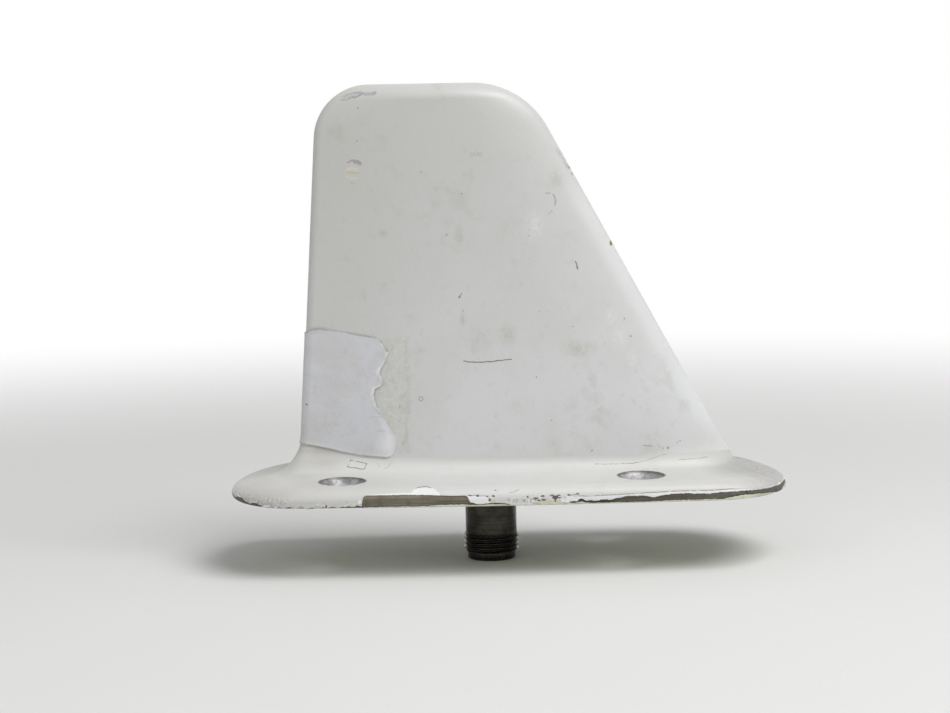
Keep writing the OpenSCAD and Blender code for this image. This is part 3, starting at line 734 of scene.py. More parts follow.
class Flow:
    """A value on its way through a material: arithmetic on it adds Math nodes."""
    __add__ = __radd__ = operator("ADD")
    __mul__ = __rmul__ = operator("MULTIPLY")
    __sub__, __rsub__ = operator("SUBTRACT"), operator("SUBTRACT", swapped=True)
    __truediv__, __rtruediv__ = operator("DIVIDE"), operator("DIVIDE", swapped=True)
    __lt__, __gt__ = operator("LESS_THAN"), operator("GREATER_THAN")
    __pow__, __abs__ = operator("POWER"), operator("ABSOLUTE")
    most, least = operator("MAXIMUM"), operator("MINIMUM")

    def __init__(self, finish, socket):
        self.finish, self.socket = finish, socket


def tone(red, green, blue):
    """A colour as it is read off a screen, 0 to 255, made linear for the shader."""
    c = np.array([red, green, blue]) / 255
    return (*np.where(c <= 0.04045, c / 12.92, ((c + 0.055) / 1.055) ** 2.4).tolist(), 1.0)


print("1 - mask, mask * 0.5 and the like now add Math nodes")

# %% [markdown]
# ## A finish in expressions
# A finish needs a few masks again and again: a smooth step, a span, blots of noise, a line through points
# and an oval spot. Each is a method here. Coats of colour are laid one over another, in the order in which
# they came onto the real part: paint, dirt, scratches and chips.

# %% Building a finish
class Finish:
    """A material, or a world, that is built from expressions. x, y and z are the position in millimetres;
    bent_x and bent_z are moved by a little noise, so that lines and spots get uneven rims. colour is the
    colour so far: coat, draw and dab lay more over it."""

    def __init__(self, material):
        self.material = bpy.data.materials.new(material) if isinstance(material, str) else material
        self.material.use_nodes = True
        self.tree = self.material.node_tree
        self.tree.nodes.clear()
        self.spot = self.node("ShaderNodeVectorMath", {"operation": "SCALE"}, {
            0: self.node("ShaderNodeTexCoord", out="Object"), "Scale": 1 / MM})
        self.x, self.y, self.z = (
            self.node("ShaderNodeSeparateXYZ", sockets={0: self.spot}, out=axis) for axis in range(3))
        self.bent_x = self.x + (self.noise(1.1, 3.0, 0.6, shift=61.0) - 0.5) * 0.4
        self.bent_z = self.z + (self.noise(1.1, 3.0, 0.6, shift=87.0) - 0.5) * 0.4

    def node(self, kind, settings=None, sockets=None, out=0):
        """Adds a node: its settings first, then the values or links of its sockets. Gives one output."""
        made = self.tree.nodes.new(kind)
        for key, value in (settings or {}).items():
            setattr(made, key, value)
        for key, value in (sockets or {}).items():
            if isinstance(value, Flow):
                self.tree.links.new(value.socket, made.inputs[key])
            else:
                made.inputs[key].default_value = value
        return Flow(self, made.outputs[out]) if made.outputs else None

    def maths(self, operation, *values):
        return self.node("ShaderNodeMath", {"operation": operation}, dict(enumerate(values)))

    def over(self, share, below, above):
        """One colour laid over another by a share from 0 to 1."""
        return self.node("ShaderNodeMix", {"data_type": "RGBA"}, {0: share, 6: below, 7: above}, out=2)

    def step(self, value, low, high):
        """0 at low, 1 at high, smooth between; low may lie above high."""
        sockets = {0: value, 1: low, 2: high}
        return self.node("ShaderNodeMapRange", {"interpolation_type": "SMOOTHSTEP"}, sockets)

    def within(self, value, start, full, fading, end):
        """A span of a value: 0 up to start, 1 from full to fading, and 0 again from end on."""
        return self.step(value, start, full) * self.step(value, end, fading)

    def span(self, a, b):
        """The length of a way from its two parts: the root of the sum of their squares."""
        return (a**2.0 + b**2.0) ** 0.5

    def noise(self, per_mm, detail=3.0, rough=0.5, stretch=(1, 1, 1), shift=0.0):
        """Blender's noise in so many lumps to a millimetre, stretched along the axes and shifted."""
        moved = {0: self.spot, 1: stretch, 2: (shift, shift, shift)}
        where = self.node("ShaderNodeVectorMath", {"operation": "MULTIPLY_ADD"}, moved)
        sockets = {"Vector": where, "Scale": per_mm, "Detail": detail, "Roughness": rough}
        return self.node("ShaderNodeTexNoise", sockets=sockets)

    def blots(self, low, high, *grain, **place):
        """A mask of blots: 0 where the noise is below low, 1 where it is above high."""
        return self.step(self.noise(*grain, **place), low, high)

    def attribute(self, name):
        return self.node("ShaderNodeAttribute", {"attribute_name": name}, out="Fac")

    def stroke(self, points, width, soft=0.5):
        """A mask for a line through points (x, z): one within half the width of it."""
        mask = None
        for (x0, z0), (x1, z1) in zip(points[:-1], points[1:]):
            dx, dz = x1 - x0, z1 - z0
            px, pz = self.bent_x - x0, self.bent_z - z0
            along = ((px * dx + pz * dz) / (dx * dx + dz * dz)).most(0.0).least(1.0)
            gap = self.span(px - along * dx, pz - along * dz)
            mask = gap if mask is None else mask.least(gap)
        return self.step(mask, width / 2, width / 2 * (1 - soft))

    def oval(self, x, z, wide, tall, soft=0.4):
        """A mask for an oval spot at (x, z) with two half widths, soft towards its rim."""
        radii = self.span((self.bent_x - x) / wide, (self.bent_z - z) / tall)
        return self.step(radii, 1.0, 1.0 - soft)

    def coat(self, share, shade):
        """Lays a shade over the colour so far by a share from 0 to 1."""
        self.colour = self.over(share, self.colour, shade)

    def draw(self, strokes, shade, mask=1.0, soft=0.5):
        """Coats along lines that each have points, a width and a strength, as strongly as the mask says."""
        for points, width, strength in strokes:
            self.coat(self.stroke(points, width, soft) * (mask * strength), shade)

    def dab(self, spots, shade, mask, soft=1.0):
        """Coats oval spots that each have a place and two half widths, as strongly as the mask says."""
        for spot in spots:
            self.coat(self.oval(*spot, soft) * mask, shade)

    def seen(self):
        """1 for rays that show a thing to the camera, straight, mirrored or through glass, else 0."""
        kinds = ("Camera", "Glossy", "Transmission")
        camera, glossy, through = (self.node("ShaderNodeLightPath", out=f"Is {kind} Ray") for kind in kinds)
        return camera.most(glossy).most(through)

    def bump(self, height, relief):
        """A normal from a height from 0 to 1, whose full relief is in millimetres."""
        sockets = {"Height": height, "Distance": relief * MM, "Strength": 1.0}
        return self.node("ShaderNodeBump", sockets=sockets)

    def lay(self, **sockets):
        """Ends the finish with a Principled surface; names are its sockets with _ for a space."""
        named = {key.replace("_", " "): value for key, value in sockets.items()}
        self.node_output(self.node("ShaderNodeBsdfPrincipled", sockets=named))
        print("finish", self.material.name, "has", len(self.tree.nodes), "nodes")
        return self.material

    def node_output(self, surface):
        self.node("ShaderNodeOutputMaterial", sockets={"Surface": surface})

# %% [markdown]
# ## Old white paint on the blade
# The blade's paint is a worn off-white, satin, with a soft orange peel, beige and grey smudges, fine specks
# and a few marks: a long thin scratch, a grey scuff under the top corner, a filled hole, and little tan
# chips on the nose where the laminate shows. Each mark is a line or a spot in side view, masked to the near
# side. Painted shade darkens the paint towards the top, towards the tail and on the fillet below the label,
# and painted highlights lighten the nose.

# %% The blade's finish
# grime_and_shade is a dirt colour, and is also used for painted shade on the fillet below the label.
white, aged, grime_and_shade = tone(212, 213, 213), tone(204, 204, 202), tone(174, 171, 162)
ink, tan, lavender = tone(108, 98, 86), tone(132, 110, 70), tone(146, 143, 150)

f = Finish("aged_blade_paint")
near = f.y < -0.02
cloud = f.blots(0.35, 0.72, 0.07, 4.0, 0.55)
smudge = f.blots(0.54, 0.76, 0.14, 5.0, 0.66, shift=31.0)
fine = f.noise(1.4, 3.0, 0.6, shift=7.0)
f.colour = f.over(cloud * 0.6, white, aged)
# Painted shade: the paint is made darker towards the top of the blade and towards its tail.
f.coat(f.step(f.z, 12.0, 76.0) * 0.8, tone(195, 195, 192))
f.coat(f.step(f.x, -6.0, -34.0) * 0.4, tone(190, 190, 184))
f.coat(smudge * 0.36, grime_and_shade)
f.coat(f.blots(0.56, 0.76, 0.45, 5.0, 0.7, shift=77.0) * 0.3, grime_and_shade)
specks = f.blots(0.72, 0.77, 1.2, 3.0, 0.55, shift=53.0)
f.coat(specks * 0.4, grime_and_shade)
rag = f.x + (f.noise(0.35, 5.0, 0.65, shift=29.0) - 0.5) * 2.6
residue = f.step(rag, -15.4, -16.5) * f.step(f.x, -39.0, -38.0) * f.within(f.z, 7.6, 8.6, 31.0, 31.9) * near
patchy = f.blots(0.35, 0.68, 0.5, 5.0, 0.65, shift=3.0)
f.coat(residue * (0.1 + 0.3 * patchy), tone(192, 190, 178))
f.coat(residue * f.step(rag, -17.4, -16.2) * f.step(fine, 0.35, 0.6) * 0.25, tone(172, 168, 158))
for shift, shade in [(71.0, tone(172, 169, 158)), (91.0, tone(226, 225, 219))]:
    f.coat(residue * f.blots(0.54, 0.68, 0.9, 4.0, 0.7, shift=shift) * 0.4, shade)
stains = [
    (-5.4, 51.4, 1.3, 3.0), (3.8, 31.6, 2.8, 3.4), (-5.0, 34.6, 0.9, 2.0), (-20.5, 52.0, 1.6, 1.2),
    (18.0, 28.5, 5.0, 2.5), (14.0, 62.0, 2.2, 3.0),
]
f.dab(stains, tone(172, 169, 156), near * f.step(fine, 0.2, 0.6) * 0.5)
# Painted highlight: pale spots, most of them on the nose, lighten the paint.
pale = [(26.2, 30.4, 2.2, 3.6), (24.4, 34.6, 1.8, 2.4), (28.6, 26.0, 1.6, 2.2), (9.5, 53.0, 3.0, 4.0)]
f.dab(pale, tone(222, 222, 222), near * f.step(fine, 0.3, 0.62) * 0.6)
# Painted shade: a soft darker patch on the fillet below the label.
f.dab([(-33.5, 8.6, 5.0, 2.4)], grime_and_shade, near * 0.4)
f.dab([(-26.4, 64.1, 2.0, 1.9)], tone(204, 200, 184), near * 0.5, 0.5)
for points, width, shade in [
    ([(-27.2, 64.8), (-26.3, 64.9), (-25.5, 64.7)], 1.0, tone(216, 213, 199)),
    ([(-27.3, 64.1), (-26.2, 64.0), (-25.1, 64.05)], 0.5, grime_and_shade),
    ([(-27.6, 63.3), (-26.6, 62.9), (-25.4, 63.0)], 0.6, tone(214, 212, 203)),
]:
    f.draw([(points, width, 0.6)], shade, near, 1.0)
scuffed = f.blots(0.36, 0.62, 0.8, 4.0, 0.7, stretch=(0.5, 1, 1.6), shift=17.0)
scuffs = [
    ([(-27.6, 78.95), (-26.0, 79.2), (-24.5, 79.55)], 1.3, 0.4),
    ([(-28.26, 78.42), (-27.28, 78.4), (-26.3, 78.8)], 0.42, 1.0),
    ([(-26.02, 78.94), (-25.44, 78.86), (-24.6, 79.27), (-23.89, 79.6)], 0.46, 1.0),
    ([(-27.28, 79.38), (-26.3, 79.64), (-25.16, 79.84), (-23.89, 79.82)], 0.5, 0.6),
    ([(-23.47, 79.45), (-22.5, 79.5), (-21.6, 79.62)], 1.15, 1.0),
    ([(-27.3, 66.1), (-26.1, 66.5), (-25.2, 66.35), (-24.6, 65.85)], 0.6, 0.75),
    ([(-25.9, 66.2), (-25.2, 66.0), (-24.75, 65.75)], 1.0, 0.7),
    ([(-26.7, 61.95), (-25.7, 62.05)], 0.3, 0.5),
    ([(-25.3, 62.25), (-24.7, 62.42)], 0.26, 0.4),
]
f.draw(scuffs, lavender, near * (0.45 + 0.55 * scuffed), 0.8)
lines = [
    ([(-5.0, 26.4), (-4.5, 26.2), (-2.16, 26.06), (0.9, 26.2), (2.2, 26.38), (4.46, 26.57)], 0.27, 0.9),
    ([(17.5, 45.7), (17.8, 45.2), (18.0, 44.25)], 0.34, 0.8),
    ([(-5.75, 39.0), (-5.15, 39.85)], 0.32, 0.5),
    ([(11.9, 59.4), (12.7, 59.3)], 0.5, 0.3),
    ([(13.4, 59.0), (13.85, 57.9), (13.66, 56.98)], 0.5, 0.4),
    ([(13.1, 55.85), (12.4, 55.15)], 0.4, 0.25),
    ([(30.6, 8.7), (32.2, 8.62)], 0.26, 0.5),
]
f.draw(lines, ink, near)
dots = [
    (-25.0, 76.8, 0.27), (-25.3, 70.3, 0.24), (-12.7, 63.9, 0.26), (-4.8, 59.6, 0.26), (-7.9, 51.5, 0.3),
    (8.3, 51.0, 0.22), (-17.9, 17.4, 0.26), (9.4, 22.9, 0.26), (16.8, 32.9, 0.22), (27.2, 34.1, 0.26),
    (28.4, 30.6, 0.3), (21.7, 16.2, 0.22), (12.3, 14.2, 0.24), (20.2, 8.0, 0.26), (34.6, 8.1, 0.24),
    (35.5, 8.1, 0.4), (37.4, 9.1, 0.24), (38.0, 9.4, 0.24), (-4.9, 36.4, 0.22), (10.2, 36.1, 0.2),
    (-5.6, 39.15, 0.36), (17.95, 44.5, 0.34),
]
f.dab([(x, z, radius, radius) for x, z, radius in dots], ink, near * 0.6, 0.8)
for x, z, radius, strength in [
    (-13.65, 18.9, 0.4, 0.45), (-1.76, 67.35, 0.36, 0.22), (-2.6, 67.2, 0.32, 0.2), (-0.95, 67.2, 0.32, 0.2),
]:
    tiny_ring = f.step(abs(f.span(f.x - x, f.z - z) - radius), 0.18, 0.04) * near
    f.coat(tiny_ring * strength, ink)
nose_wear = f.step(f.y, -1.6, -0.9) * near * f.step(f.x, 12.0, 14.0) * f.within(f.z, 61.0, 63.0, 66.0, 69.0)
crumbs = nose_wear * f.blots(0.58, 0.64, 1.6, 3.0, 0.6, shift=21.0)
chips = f.oval(24.9, 49.05, 0.4, 0.58, 0.4).most(f.oval(16.8, 64.3, 0.3, 0.4, 0.5) * 0.7) * near
edge_run = f.stroke([(14.6, 67.6), (15.6, 65.9), (16.5, 64.4)], 1.3, 1.0) * near
f.coat(edge_run * f.blots(0.46, 0.58, 4.2, 3.0, 0.6, shift=15.0) * 0.7, tone(140, 134, 126))
# Painted highlight: a lighter strip along the leading edge stands in for a lamp's reflection on the curved
# nose.
painted_nose_highlight = f.within(f.y, -3.4, -2.3, -1.3, -0.5) * f.step(f.x, 10.0, 16.0)
f.coat(painted_nose_highlight * f.within(f.z, 9.0, 16.0, 56.0, 64.0) * 0.35, tone(226, 227, 228))
f.coat(chips.most(crumbs * 0.6), tan)
peel = 0.5 * f.noise(0.55, 2.0, 0.5, shift=5.0) + 0.35 * fine + 0.15 * f.noise(5.0, 2.0, 0.5)
aged_blade = f.lay(
    Base_Color=f.colour,
    Roughness=0.36 + 0.14 * cloud + 0.14 * (residue * patchy) + 0.08 * smudge,
    Normal=f.bump(peel + 0.35 * (residue * patchy) - 0.5 * chips, 0.05),
)
blade.data.materials.append(aged_blade)

# %% [markdown]
# ## Chipped paint on the foot
# The foot has the same paint, thicker and more worn. Four layers show at its edge: satin paint, clean white
# where the top coat broke off, pale green-yellow primer, and bare metal with lengthwise machining marks and
# brown dirt. The signed distances decide which, and a little fine noise keeps their borders crisp at close
# range. Painted shade darkens the aft tip and the fillet below the label.

# %% The foot's finish
f = Finish(painted)
near = f.y < 0.0
crumb = (f.noise(4.0, 3.0, 0.6) - 0.5) * 0.16
cloud = f.blots(0.35, 0.72, 0.08, 4.0, 0.55, shift=12.0)
smudge = f.blots(0.55, 0.72, 0.22, 5.0, 0.65, shift=41.0)
f.colour = f.over(cloud * 0.4, tone(208, 208, 206), tone(200, 199, 195))
f.coat(smudge * 0.16, grime_and_shade)
fine_scratch = f.blots(0.66, 0.75, 0.5, 3.0, 0.6, stretch=(0.16, 2.2, 4.0), shift=23.0)
f.coat(fine_scratch * 0.12, grime_and_shade)
# Both tips of the foot are made darker, in blotches.
darkened_tips = f.step(f.x, -30.0, -50.0).most(f.step(f.x, 44.0, 58.0))
blotch = f.noise(0.3, 4.0, 0.65, shift=35.0)
f.coat(darkened_tips * (0.2 + 0.5 * blotch) * 0.8, grime_and_shade)
# The forward tip is made greyer in mottled patches, away from its near edge and low down.
grey_forward_tip = f.step(f.x, 40.0, 51.0) * f.step(f.y, -21.0, -8.0) * f.step(f.z, 6.4, 3.6)
f.coat(grey_forward_tip * (0.4 + blotch) * 0.9, tone(152, 152, 152))
f.coat(f.step(f.z, 4.8, 3.8) * f.step(abs(f.x - 4.0), 12.0, 32.0) * 0.2, grime_and_shade)
# Painted shade: a soft darker patch on the fillet below the label.
f.dab([(-33.0, 6.2, 6.0, 2.4)], grime_and_shade, near * 0.4)
# Painted shade: the paint is made darker towards the aft tip.
f.coat(f.step(f.x, -32.0, -46.0) * 0.35, tone(182, 182, 178))

from_hole = f.span(abs(f.x) - hole_x, abs(f.y) - hole_y)
rim_line = f.step(from_hole, sink_r + 0.32, sink_r + 0.06) * f.blots(0.3, 0.55, 0.8, 2.0, 0.5, shift=2.0)
f.coat(rim_line * 0.75, tone(124, 108, 92))
on_fillet = near * f.step(f.z, 4.4, 4.8)
cracks = [
    ([(20.8, 5.36), (24, 5.38), (26.8, 5.34), (29.5, 5.5)], 0.17, 0.85),
    ([(29.5, 5.5), (31.8, 6.0), (33.6, 6.6), (35.2, 6.9)], 0.15, 0.5),
    ([(37.6, 5.75), (40.5, 5.8), (43.6, 5.95)], 0.17, 0.6),
    ([(-28.74, 5.43), (-27.95, 6.75), (-24.75, 5.96), (-25.3, 5.0), (-28.74, 5.43)], 0.2, 0.95),
    ([(-22.7, 6.3), (-22.1, 5.2)], 0.15, 0.4),
    ([(-21.4, 5.0), (-20.3, 5.4), (-19.9, 6.2)], 0.15, 0.45),
]
for points, width, strength in cracks:
    broken_up = f.blots(0.3, 0.45, 0.7, 2.0, 0.6, shift=width * 100)
    f.draw([(points, width, strength)], ink, on_fillet * broken_up, 0.7)
f.draw([([(3.2, 2.6), (4.1, 2.75), (5.0, 3.0)], 0.34, 0.6)], tone(150, 130, 96), near, 1.0)

kinds = ("bare", "fresh", "primer", "chip", "cream")
bare, fresh, primer, chip, cream = (f.attribute(kind) for kind in kinds)
is_fresh = f.step(fresh + crumb, -0.03, 0.03)
is_bare = f.step(bare + crumb, -0.03, 0.03)
is_primer = f.step(primer + crumb, -0.03, 0.03)
is_chip = f.step(chip + 0.7 * crumb, -0.02, 0.03) * (1 - is_bare)
is_cream = f.step(cream + 1.4 * crumb, -0.03, 0.03) * (1 - is_bare)
for shift, shade, strength in [(63.0, tone(112, 106, 100), 0.7), (83.0, tone(224, 224, 225), 0.6)]:
    flecks = f.blots(0.6, 0.68, 1.7, 2.0, 0.6, shift=shift) * f.step(f.x, 47.0, 54.0) * f.step(f.z, 4.4, 3.4)
    f.coat(flecks * strength, shade)
crumbly = f.within(f.x, 2.0, 3.6, 9.2, 10.6) * f.step(f.z, 1.9, 1.2) * near
for start, full, high, low, strength in [(-24.8, -26.5, 1.8, 0.7, 0.6), (-38.0, -40.5, 2.6, 1.6, 0.7)]:
    crumbly = crumbly.most(f.step(f.x, start, full) * f.step(f.z, high, low) * near * strength)
for shift, shade, strength in [(33.0, tone(232, 232, 231), 0.8), (57.0, tone(124, 112, 102), 0.6)]:
    f.coat(crumbly * f.blots(0.54, 0.6, 1.6, 4.0, 0.7, shift=shift) * strength, shade)
f.coat(is_fresh, tone(228, 229, 230))
gaps = f.blots(0.4, 0.48, 0.55, 3.0, 0.6, shift=9.0)
split = f.step(abs(fresh + 0.5 * crumb), 0.09, 0.03) * gaps * (1 - is_bare)
window = f.within(f.x, 13.6, 14.6, 46.0, 49.0)
more = [(1.0, -15.2, -14.4, -12.4, -11.4), (0.8, -5.4, -4.6, -0.4, 0.6), (0.4, 6.4, 7.2, 13.6, 14.6)]
for strength, *ends in more:
    window = window.most(f.within(f.x, *ends) * strength)
f.coat(split * window * near * 0.9, tone(112, 90, 70))
f.coat(is_cream * 0.8, tone(200, 196, 170))
f.coat(is_chip * 0.92, tone(74, 62, 54))

streak = f.noise(0.5, 4.0, 0.65, stretch=(0.1, 0.3, 7.0), shift=19.0)
stain = f.noise(0.35, 4.0, 0.65, shift=27.0)
metal = f.over(f.step(streak, 0.25, 0.75), tone(84, 79, 68), tone(128, 122, 108))
metal = f.over(f.step(stain, 0.46, 0.68) * 0.6, metal, tone(88, 76, 56))
tip_metal = f.over(f.step(f.x, 34.0, 46.0) * f.step(stain, 0.66, 0.46), tone(62, 58, 52), tone(88, 88, 86))
metal = f.over(f.step(abs(f.x + 17.0), 22.0, 32.0) * 0.6, metal, tip_metal)
metal = f.over(f.step(abs(f.x - 18.0), 7.0, 4.0) * 0.75, metal, tone(48, 44, 40))
metal = f.over(f.step(abs(bare), 0.13, 0.03) * gaps * 0.8, metal, tone(50, 43, 36))
metal = f.over(f.step(abs(primer + 0.05), 0.16, 0.05) * 0.8, metal, tone(52, 42, 35))
f.coat(is_bare, metal)
f.coat(is_primer, f.over(f.step(stain, 0.4, 0.6), tone(178, 182, 158), tone(202, 205, 182)))
coated = (1 - is_bare).most(is_primer)
relief = 0.4 * f.noise(0.6, 2.0, 0.5) + 0.2 * f.noise(4.0, 2.0, 0.5) + 0.5 * (is_bare * streak)
f.lay(
    Base_Color=f.colour,
    Roughness=0.4 + 0.12 * cloud + 0.12 * is_fresh + 0.14 * is_primer + 0.06 * is_bare,
    Metallic=0.4 * (1 - coated),
    Normal=f.bump(relief - 0.4 * is_chip, 0.05),
)

# %% [markdown]
# ## Bare metal and primer
# The countersinks are bright turned aluminium: the drill left fine rings round each hole. The mounting face
# was only primed, and rubbed on the aircraft's skin. Both read distances from the hole or plain noise, in
# millimetres.

# %% Countersinks and the mounting face
f = Finish(bright)
from_hole = f.span(abs(f.x) - hole_x, abs(f.y) - hole_y)
cut_sockets = {"W": from_hole, "Scale": 9.0, "Detail": 2.0}
rings_cut = f.node("ShaderNodeTexNoise", {"noise_dimensions": "1D"}, cut_sockets)
dull = f.noise(0.7, 4.0, 0.6)
cut = f.over(f.step(dull, 0.4, 0.62) * 0.8, tone(164, 164, 166), tone(118, 117, 116))
f.lay(
    Base_Color=f.over(f.step(from_hole, sink_r - 0.5, sink_r - 0.15) * 0.6, cut, tone(92, 88, 84)),
    Roughness=0.42 + 0.16 * dull,
    Metallic=1.0,
    Normal=f.bump(rings_cut + 0.3 * dull, 0.03),
)
f = Finish(primed_face)
rubbed = f.blots(0.5, 0.62, 0.12, 5.0, 0.65)
rub_lines = f.noise(0.6, 4.0, 0.6, stretch=(0.15, 1.5, 1))
f.lay(
    Base_Color=f.over(rubbed * (0.4 + 0.5 * rub_lines), tone(178, 184, 154), tone(136, 133, 122)),
    Roughness=0.52 - 0.1 * rubbed,
    Metallic=0.4 * rubbed,
    Normal=f.bump(rub_lines * 0.5 + 0.5 * f.noise(2.0), 0.04),
)

# %% [markdown]
# ## The jack's plating
# The nickel has gone dark and brownish. It is smooth on the barrel, with fine turning lines, and dull with
# dirt in the grooves of the thread. The depth of a groove is simply the distance from the axis.

# %% The jack's finish
f = Finish("tarnished_nickel")
from_axis = f.span(f.x, f.y)
tarnish = f.blots(0.36, 0.68, 0.35, 5.0, 0.65)
lathe = f.noise(1.0, 3.0, 0.6, stretch=(0.05, 0.05, 9.0))
in_thread = f.within(f.z, -12.8, -12.6, -8.9, -8.6)
packed = f.step(from_axis, 5.32, 5.08) * in_thread
plate = f.over(tarnish, tone(56, 54, 48), tone(37, 34, 29))
plate = f.over(f.step(lathe, 0.45, 0.7) * 0.3, plate, tone(96, 93, 85))
plate = f.over(packed * 0.8, plate, tone(28, 26, 22))
nickel = f.lay(
    Base_Color=plate,
    Roughness=0.2 + 0.16 * tarnish + 0.3 * packed,
    Metallic=0.9 - 0.5 * packed,
    Normal=f.bump(lathe, 0.02),
)
jack.data.materials.append(nickel)

# %% [markdown]
# ## Paper
# The label is blank matt paper, a touch bluish beside the warm paint. It is grey with handling, white where
# it tore and the fibres show, and brown along its upper and lower edges: dirt, and in part a painted shadow
# line. Painted shade lies in its folds. The attributes say how near a point is to the tear.

# %% The label's finish
f = Finish("torn_label_paper")
fibres, up = f.attribute("fibres"), f.attribute("up")
fibre = f.noise(2.2, 4.0, 0.65)
handled = f.blots(0.4, 0.7, 0.13, 4.0, 0.6, shift=8.0)
f.colour = f.over(handled * 0.6, tone(208, 209, 213), tone(199, 197, 196))
f.coat(f.blots(0.5, 0.7, 0.3, 5.0, 0.7, shift=44.0) * 0.35, tone(186, 184, 179))
f.dab([(-20.7, 9.8, 3.0, 3.6)], tone(230, 230, 230), 0.75)
f.coat(f.step(fibre, 0.5, 0.75) * 0.12, tone(178, 176, 176))
f.coat(f.step(fibres, -0.08, 0.12) * (0.6 + 0.5 * fibre), tone(228, 228, 228))
# Brown along the top and bottom edges: dirt, and in part a painted shadow line under the lifted edge.
dirt_and_shadow_edge = f.step(up, 0.982, 0.998).most(f.step(up, 0.01, 0.001))
f.coat(dirt_and_shadow_edge * f.blots(0.35, 0.55, 0.5, 3.0, 0.6) * 0.55, tone(142, 128, 108))
f.dab([(-36.6, 17.9, 0.3, 0.3)], ink, 0.7, 0.6)
# Painted shade: dark lines in the folds of the paper, and a painted shadow under the curl at the top of the
# tear.
painted_fold_shade = [
    ([(-21.5, 30.5), (-20.9, 30.0), (-20.2, 28.6)], 0.7, 0.7),
    ([(-21.3, 22.9), (-21.45, 22.2), (-21.4, 21.5)], 0.22, 0.5),
    ([(-23.5, 15.4), (-21.3, 15.3)], 0.3, 0.3),
    ([(-22.5, 12.55), (-20.9, 12.5)], 0.3, 0.3),
]
f.draw(painted_fold_shade, tone(150, 144, 134), soft=0.9)
crease = f.noise(0.35, 4.0, 0.55, stretch=(1, 1, 0.6), shift=14.0)
paper_finish = f.lay(Base_Color=f.colour, Roughness=0.72, Normal=f.bump(0.7 * crease + 0.3 * fibre, 0.09))
label.data.materials.append(paper_finish)

# %% [markdown]
# ## Solids that stay as they are
# Inside, the CAD solids already have their true shape: the foam that fills the blade, the brass radiator,
# the jack's two waxy beads, the gold-plated socket and the pressed ring. They keep their meshes and only
# get finishes, each with the grain of its material.

# %% Finishes of the carried-over solids
f = Finish("cast_foam")
cells = f.node("ShaderNodeTexVoronoi", sockets={"Vector": f.spot, "Scale": 1.3}, out="Distance")
foam = f.lay(
    Base_Color=f.over(f.step(cells, 0.2, 0.75), tone(206, 178, 122), tone(232, 212, 164)),
    Roughness=0.8,
    Normal=f.bump(cells, 0.25),
)
f = Finish("rolled_brass")
rolled = f.noise(0.8, 4.0, 0.6, stretch=(0.08, 1, 2.5))
spots = f.blots(0.5, 0.7, 0.3, 4.0, 0.6, shift=4.0)
sheet = f.over(rolled, tone(196, 160, 88), tone(222, 190, 116))
brass = f.lay(
    Base_Color=f.over(spots * 0.6, sheet, tone(132, 98, 54)),
    Roughness=0.28 + 0.2 * spots,
    Metallic=1.0,
    Normal=f.bump(rolled, 0.02),
)
f = Finish("waxy_bead")
turned_lines = f.noise(1.0, 3.0, 0.5, stretch=(0.1, 0.1, 6.0))
specked = f.blots(0.62, 0.74, 1.2, 3.0, 0.6)
bead = f.lay(
    Base_Color=f.over(specked * 0.35, tone(228, 225, 214), tone(186, 178, 160)),
    Roughness=0.42 + 0.1 * turned_lines,
    Normal=f.bump(turned_lines, 0.02),
)
f = Finish("gold_plate")
worn_gold = f.blots(0.52, 0.7, 0.9, 4.0, 0.6)
gold = f.lay(
    Base_Color=f.over(worn_gold * 0.5, tone(222, 182, 96), tone(164, 126, 66)),
    Roughness=0.24 + 0.2 * worn_gold,
    Metallic=1.0,
    Normal=f.bump(f.noise(3.0), 0.01),
)
kept = {
    "foam_core": foam, "radiator": brass, "front_insulator": bead, "rear_insulator": bead,
    "center_contact": gold, "retaining_ring": brass,
}
for node, finish in kept.items():
    for seat_slot in frame["nodes"][node].material_slots:
        seat_slot.material = finish
    print(node, "is finished in", finish.name)

# %% [markdown]
# ## The floor
# The antenna is shown on a plain pale floor. A backdrop with a bend could hide the horizon, but it would
# have to be turned with the view. Here the floor turns white in the distance, and the sky behind it is
# white to the eye too.

# %% The floor
floor_z = cad_box[0][2] / MM
radii = np.array([0, 60, 150, 300, 600, 1200, 3000, 9000.0])
disc_turns, clear, lost_in_white = 96, 140.0, 520.0
disc = turned([(max(r, 1.0), floor_z) for r in radii], disc_turns)
disc_quads = grid_quads(len(radii), disc_turns)[:, ::-1]
floor = make_piece("floor", disc.reshape(-1, 3), disc_quads, np.arange(disc_turns)[None])
f = Finish("pale_floor")
away = f.step(f.span(f.x, f.y), clear, lost_in_white)
pale_grey = f.over(f.noise(0.05) * 0.3, tone(226, 226, 225), tone(221, 221, 220))
ground = f.node("ShaderNodeBsdfPrincipled", sockets={"Base Color": pale_grey, "Roughness": 0.8})
glow = f.node("ShaderNodeEmission", sockets={"Color": (1, 1, 1, 1), "Strength": 1.0})
f.node_output(f.node("ShaderNodeMixShader", sockets={0: away * f.seen(), 1: ground, 2: glow}))
floor.data.materials.append(f.material)
print("floor at", round(floor_z, 2), "mm")

# %% [markdown]
# ## Light
# A large soft lamp stands above on the right, as in the photograph, where the nose is bright and the tail
# is in gentle shade. A weak one fills from the left. The sky looks white but lights the part weakly, so
# that the lamps shape it.

# %% Light
world = bpy.data.worlds.new("studio")
bpy.context.scene.world = world
f = Finish(world)
skies = [f.node("ShaderNodeBackground", sockets={"Color": (1, 1, 1, 1), "Strength": s}) for s in (0.3, 1.0)]
sky = f.node("ShaderNodeMixShader", sockets={0: f.seen(), 1: skies[0], 2: skies[1]})
f.node("ShaderNodeOutputWorld", sockets={"Surface": sky})


def placed(right, up, back, place):
    """The matrix of an object that has these three axes and stands at a place in millimetres."""
    rows = np.column_stack([right, up, back, np.asarray(place) * MM])
    return Matrix([*rows.tolist(), (0, 0, 0, 1)])


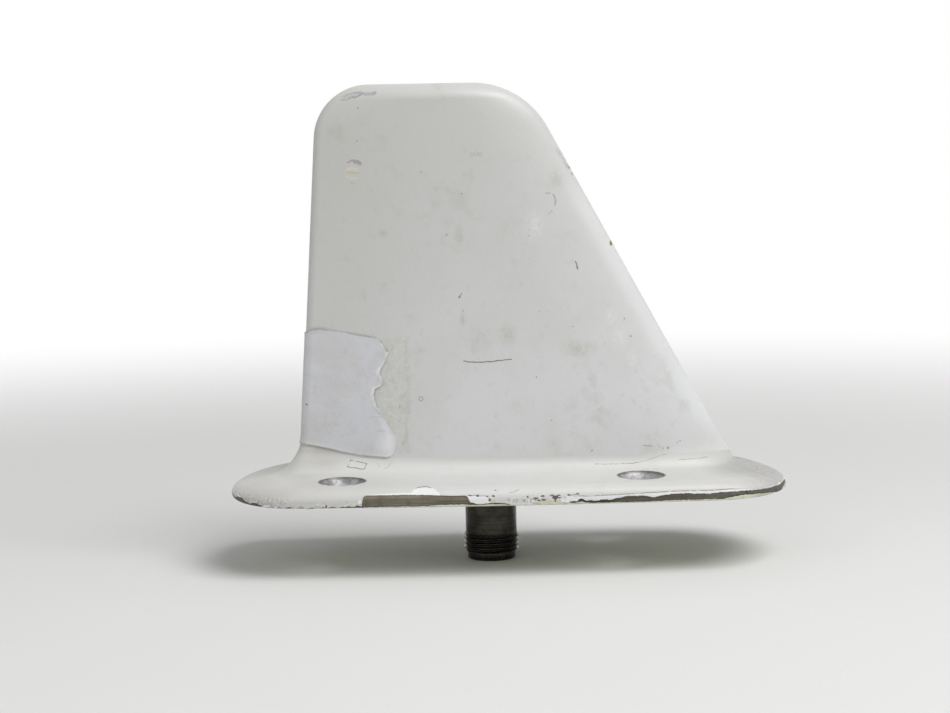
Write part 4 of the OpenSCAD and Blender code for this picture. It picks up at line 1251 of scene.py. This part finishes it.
def soft_lamp(name, place, aim, size, watts):
    """A square area lamp at a place, in millimetres, that faces a point: its -Z axis is the way there."""
    lamp = bpy.data.lights.new(name, "AREA")
    lamp.size, lamp.energy = size * MM, watts
    holder = bpy.data.objects.new(name, lamp)
    bpy.context.scene.collection.objects.link(holder)
    back = np.array(place, float) - aim
    back /= np.linalg.norm(back)
    side = np.cross((0, 0, 1), back)
    side /= np.linalg.norm(side)
    holder.matrix_world = placed(side, np.cross(back, side), back, place)
    print(name, "shines with", watts, "W")


soft_lamp("key_lamp", (340, -285, 690), (0, 0, 30), 520, 5.4)
soft_lamp("fill_lamp", (-620, -620, 420), (0, 0, 30), 620, 1.25)

# %% [markdown]
# ## The camera
# The camera stands where a least-squares fit of the photograph's outline put it: almost square on, a little
# above the foot, and turned by one degree. Its axes are worked out from the place and the aim, and then
# rolled.

# %% The camera
aim, yaw, roll = np.array([-2.6554, 0, 26.7275]), np.radians(0.8695), np.radians(1.04)
distance, eye_height, focal_px, wide_px, sensor = 450, 72.59, 2250, 950, 36.0
stand = np.array([aim[0] - distance * np.sin(yaw), -distance * np.cos(yaw), eye_height])
ahead_axis = (aim - stand) / np.linalg.norm(aim - stand)
right_axis = np.cross(ahead_axis, (0, 0, 1))
right_axis /= np.linalg.norm(right_axis)
up_axis = np.cross(right_axis, ahead_axis)
tilt = np.array([[np.cos(roll), -np.sin(roll)], [np.sin(roll), np.cos(roll)]])
right_axis, up_axis = tilt @ np.stack([right_axis, up_axis])
lens = bpy.data.cameras.new("camera")
lens.sensor_fit, lens.sensor_width, lens.lens = "HORIZONTAL", sensor, sensor * focal_px / wide_px
lens.clip_start, lens.clip_end = 0.01, 30.0
camera = bpy.data.objects.new("camera", lens)
bpy.context.scene.collection.objects.link(camera)
camera.matrix_world = placed(right_axis, up_axis, -ahead_axis, stand)
bpy.context.scene.camera = camera
bpy.context.scene.view_settings.view_transform = "Standard"
print("camera at", np.round(stand, 1).tolist(), "mm, lens", round(lens.lens, 2), "mm")
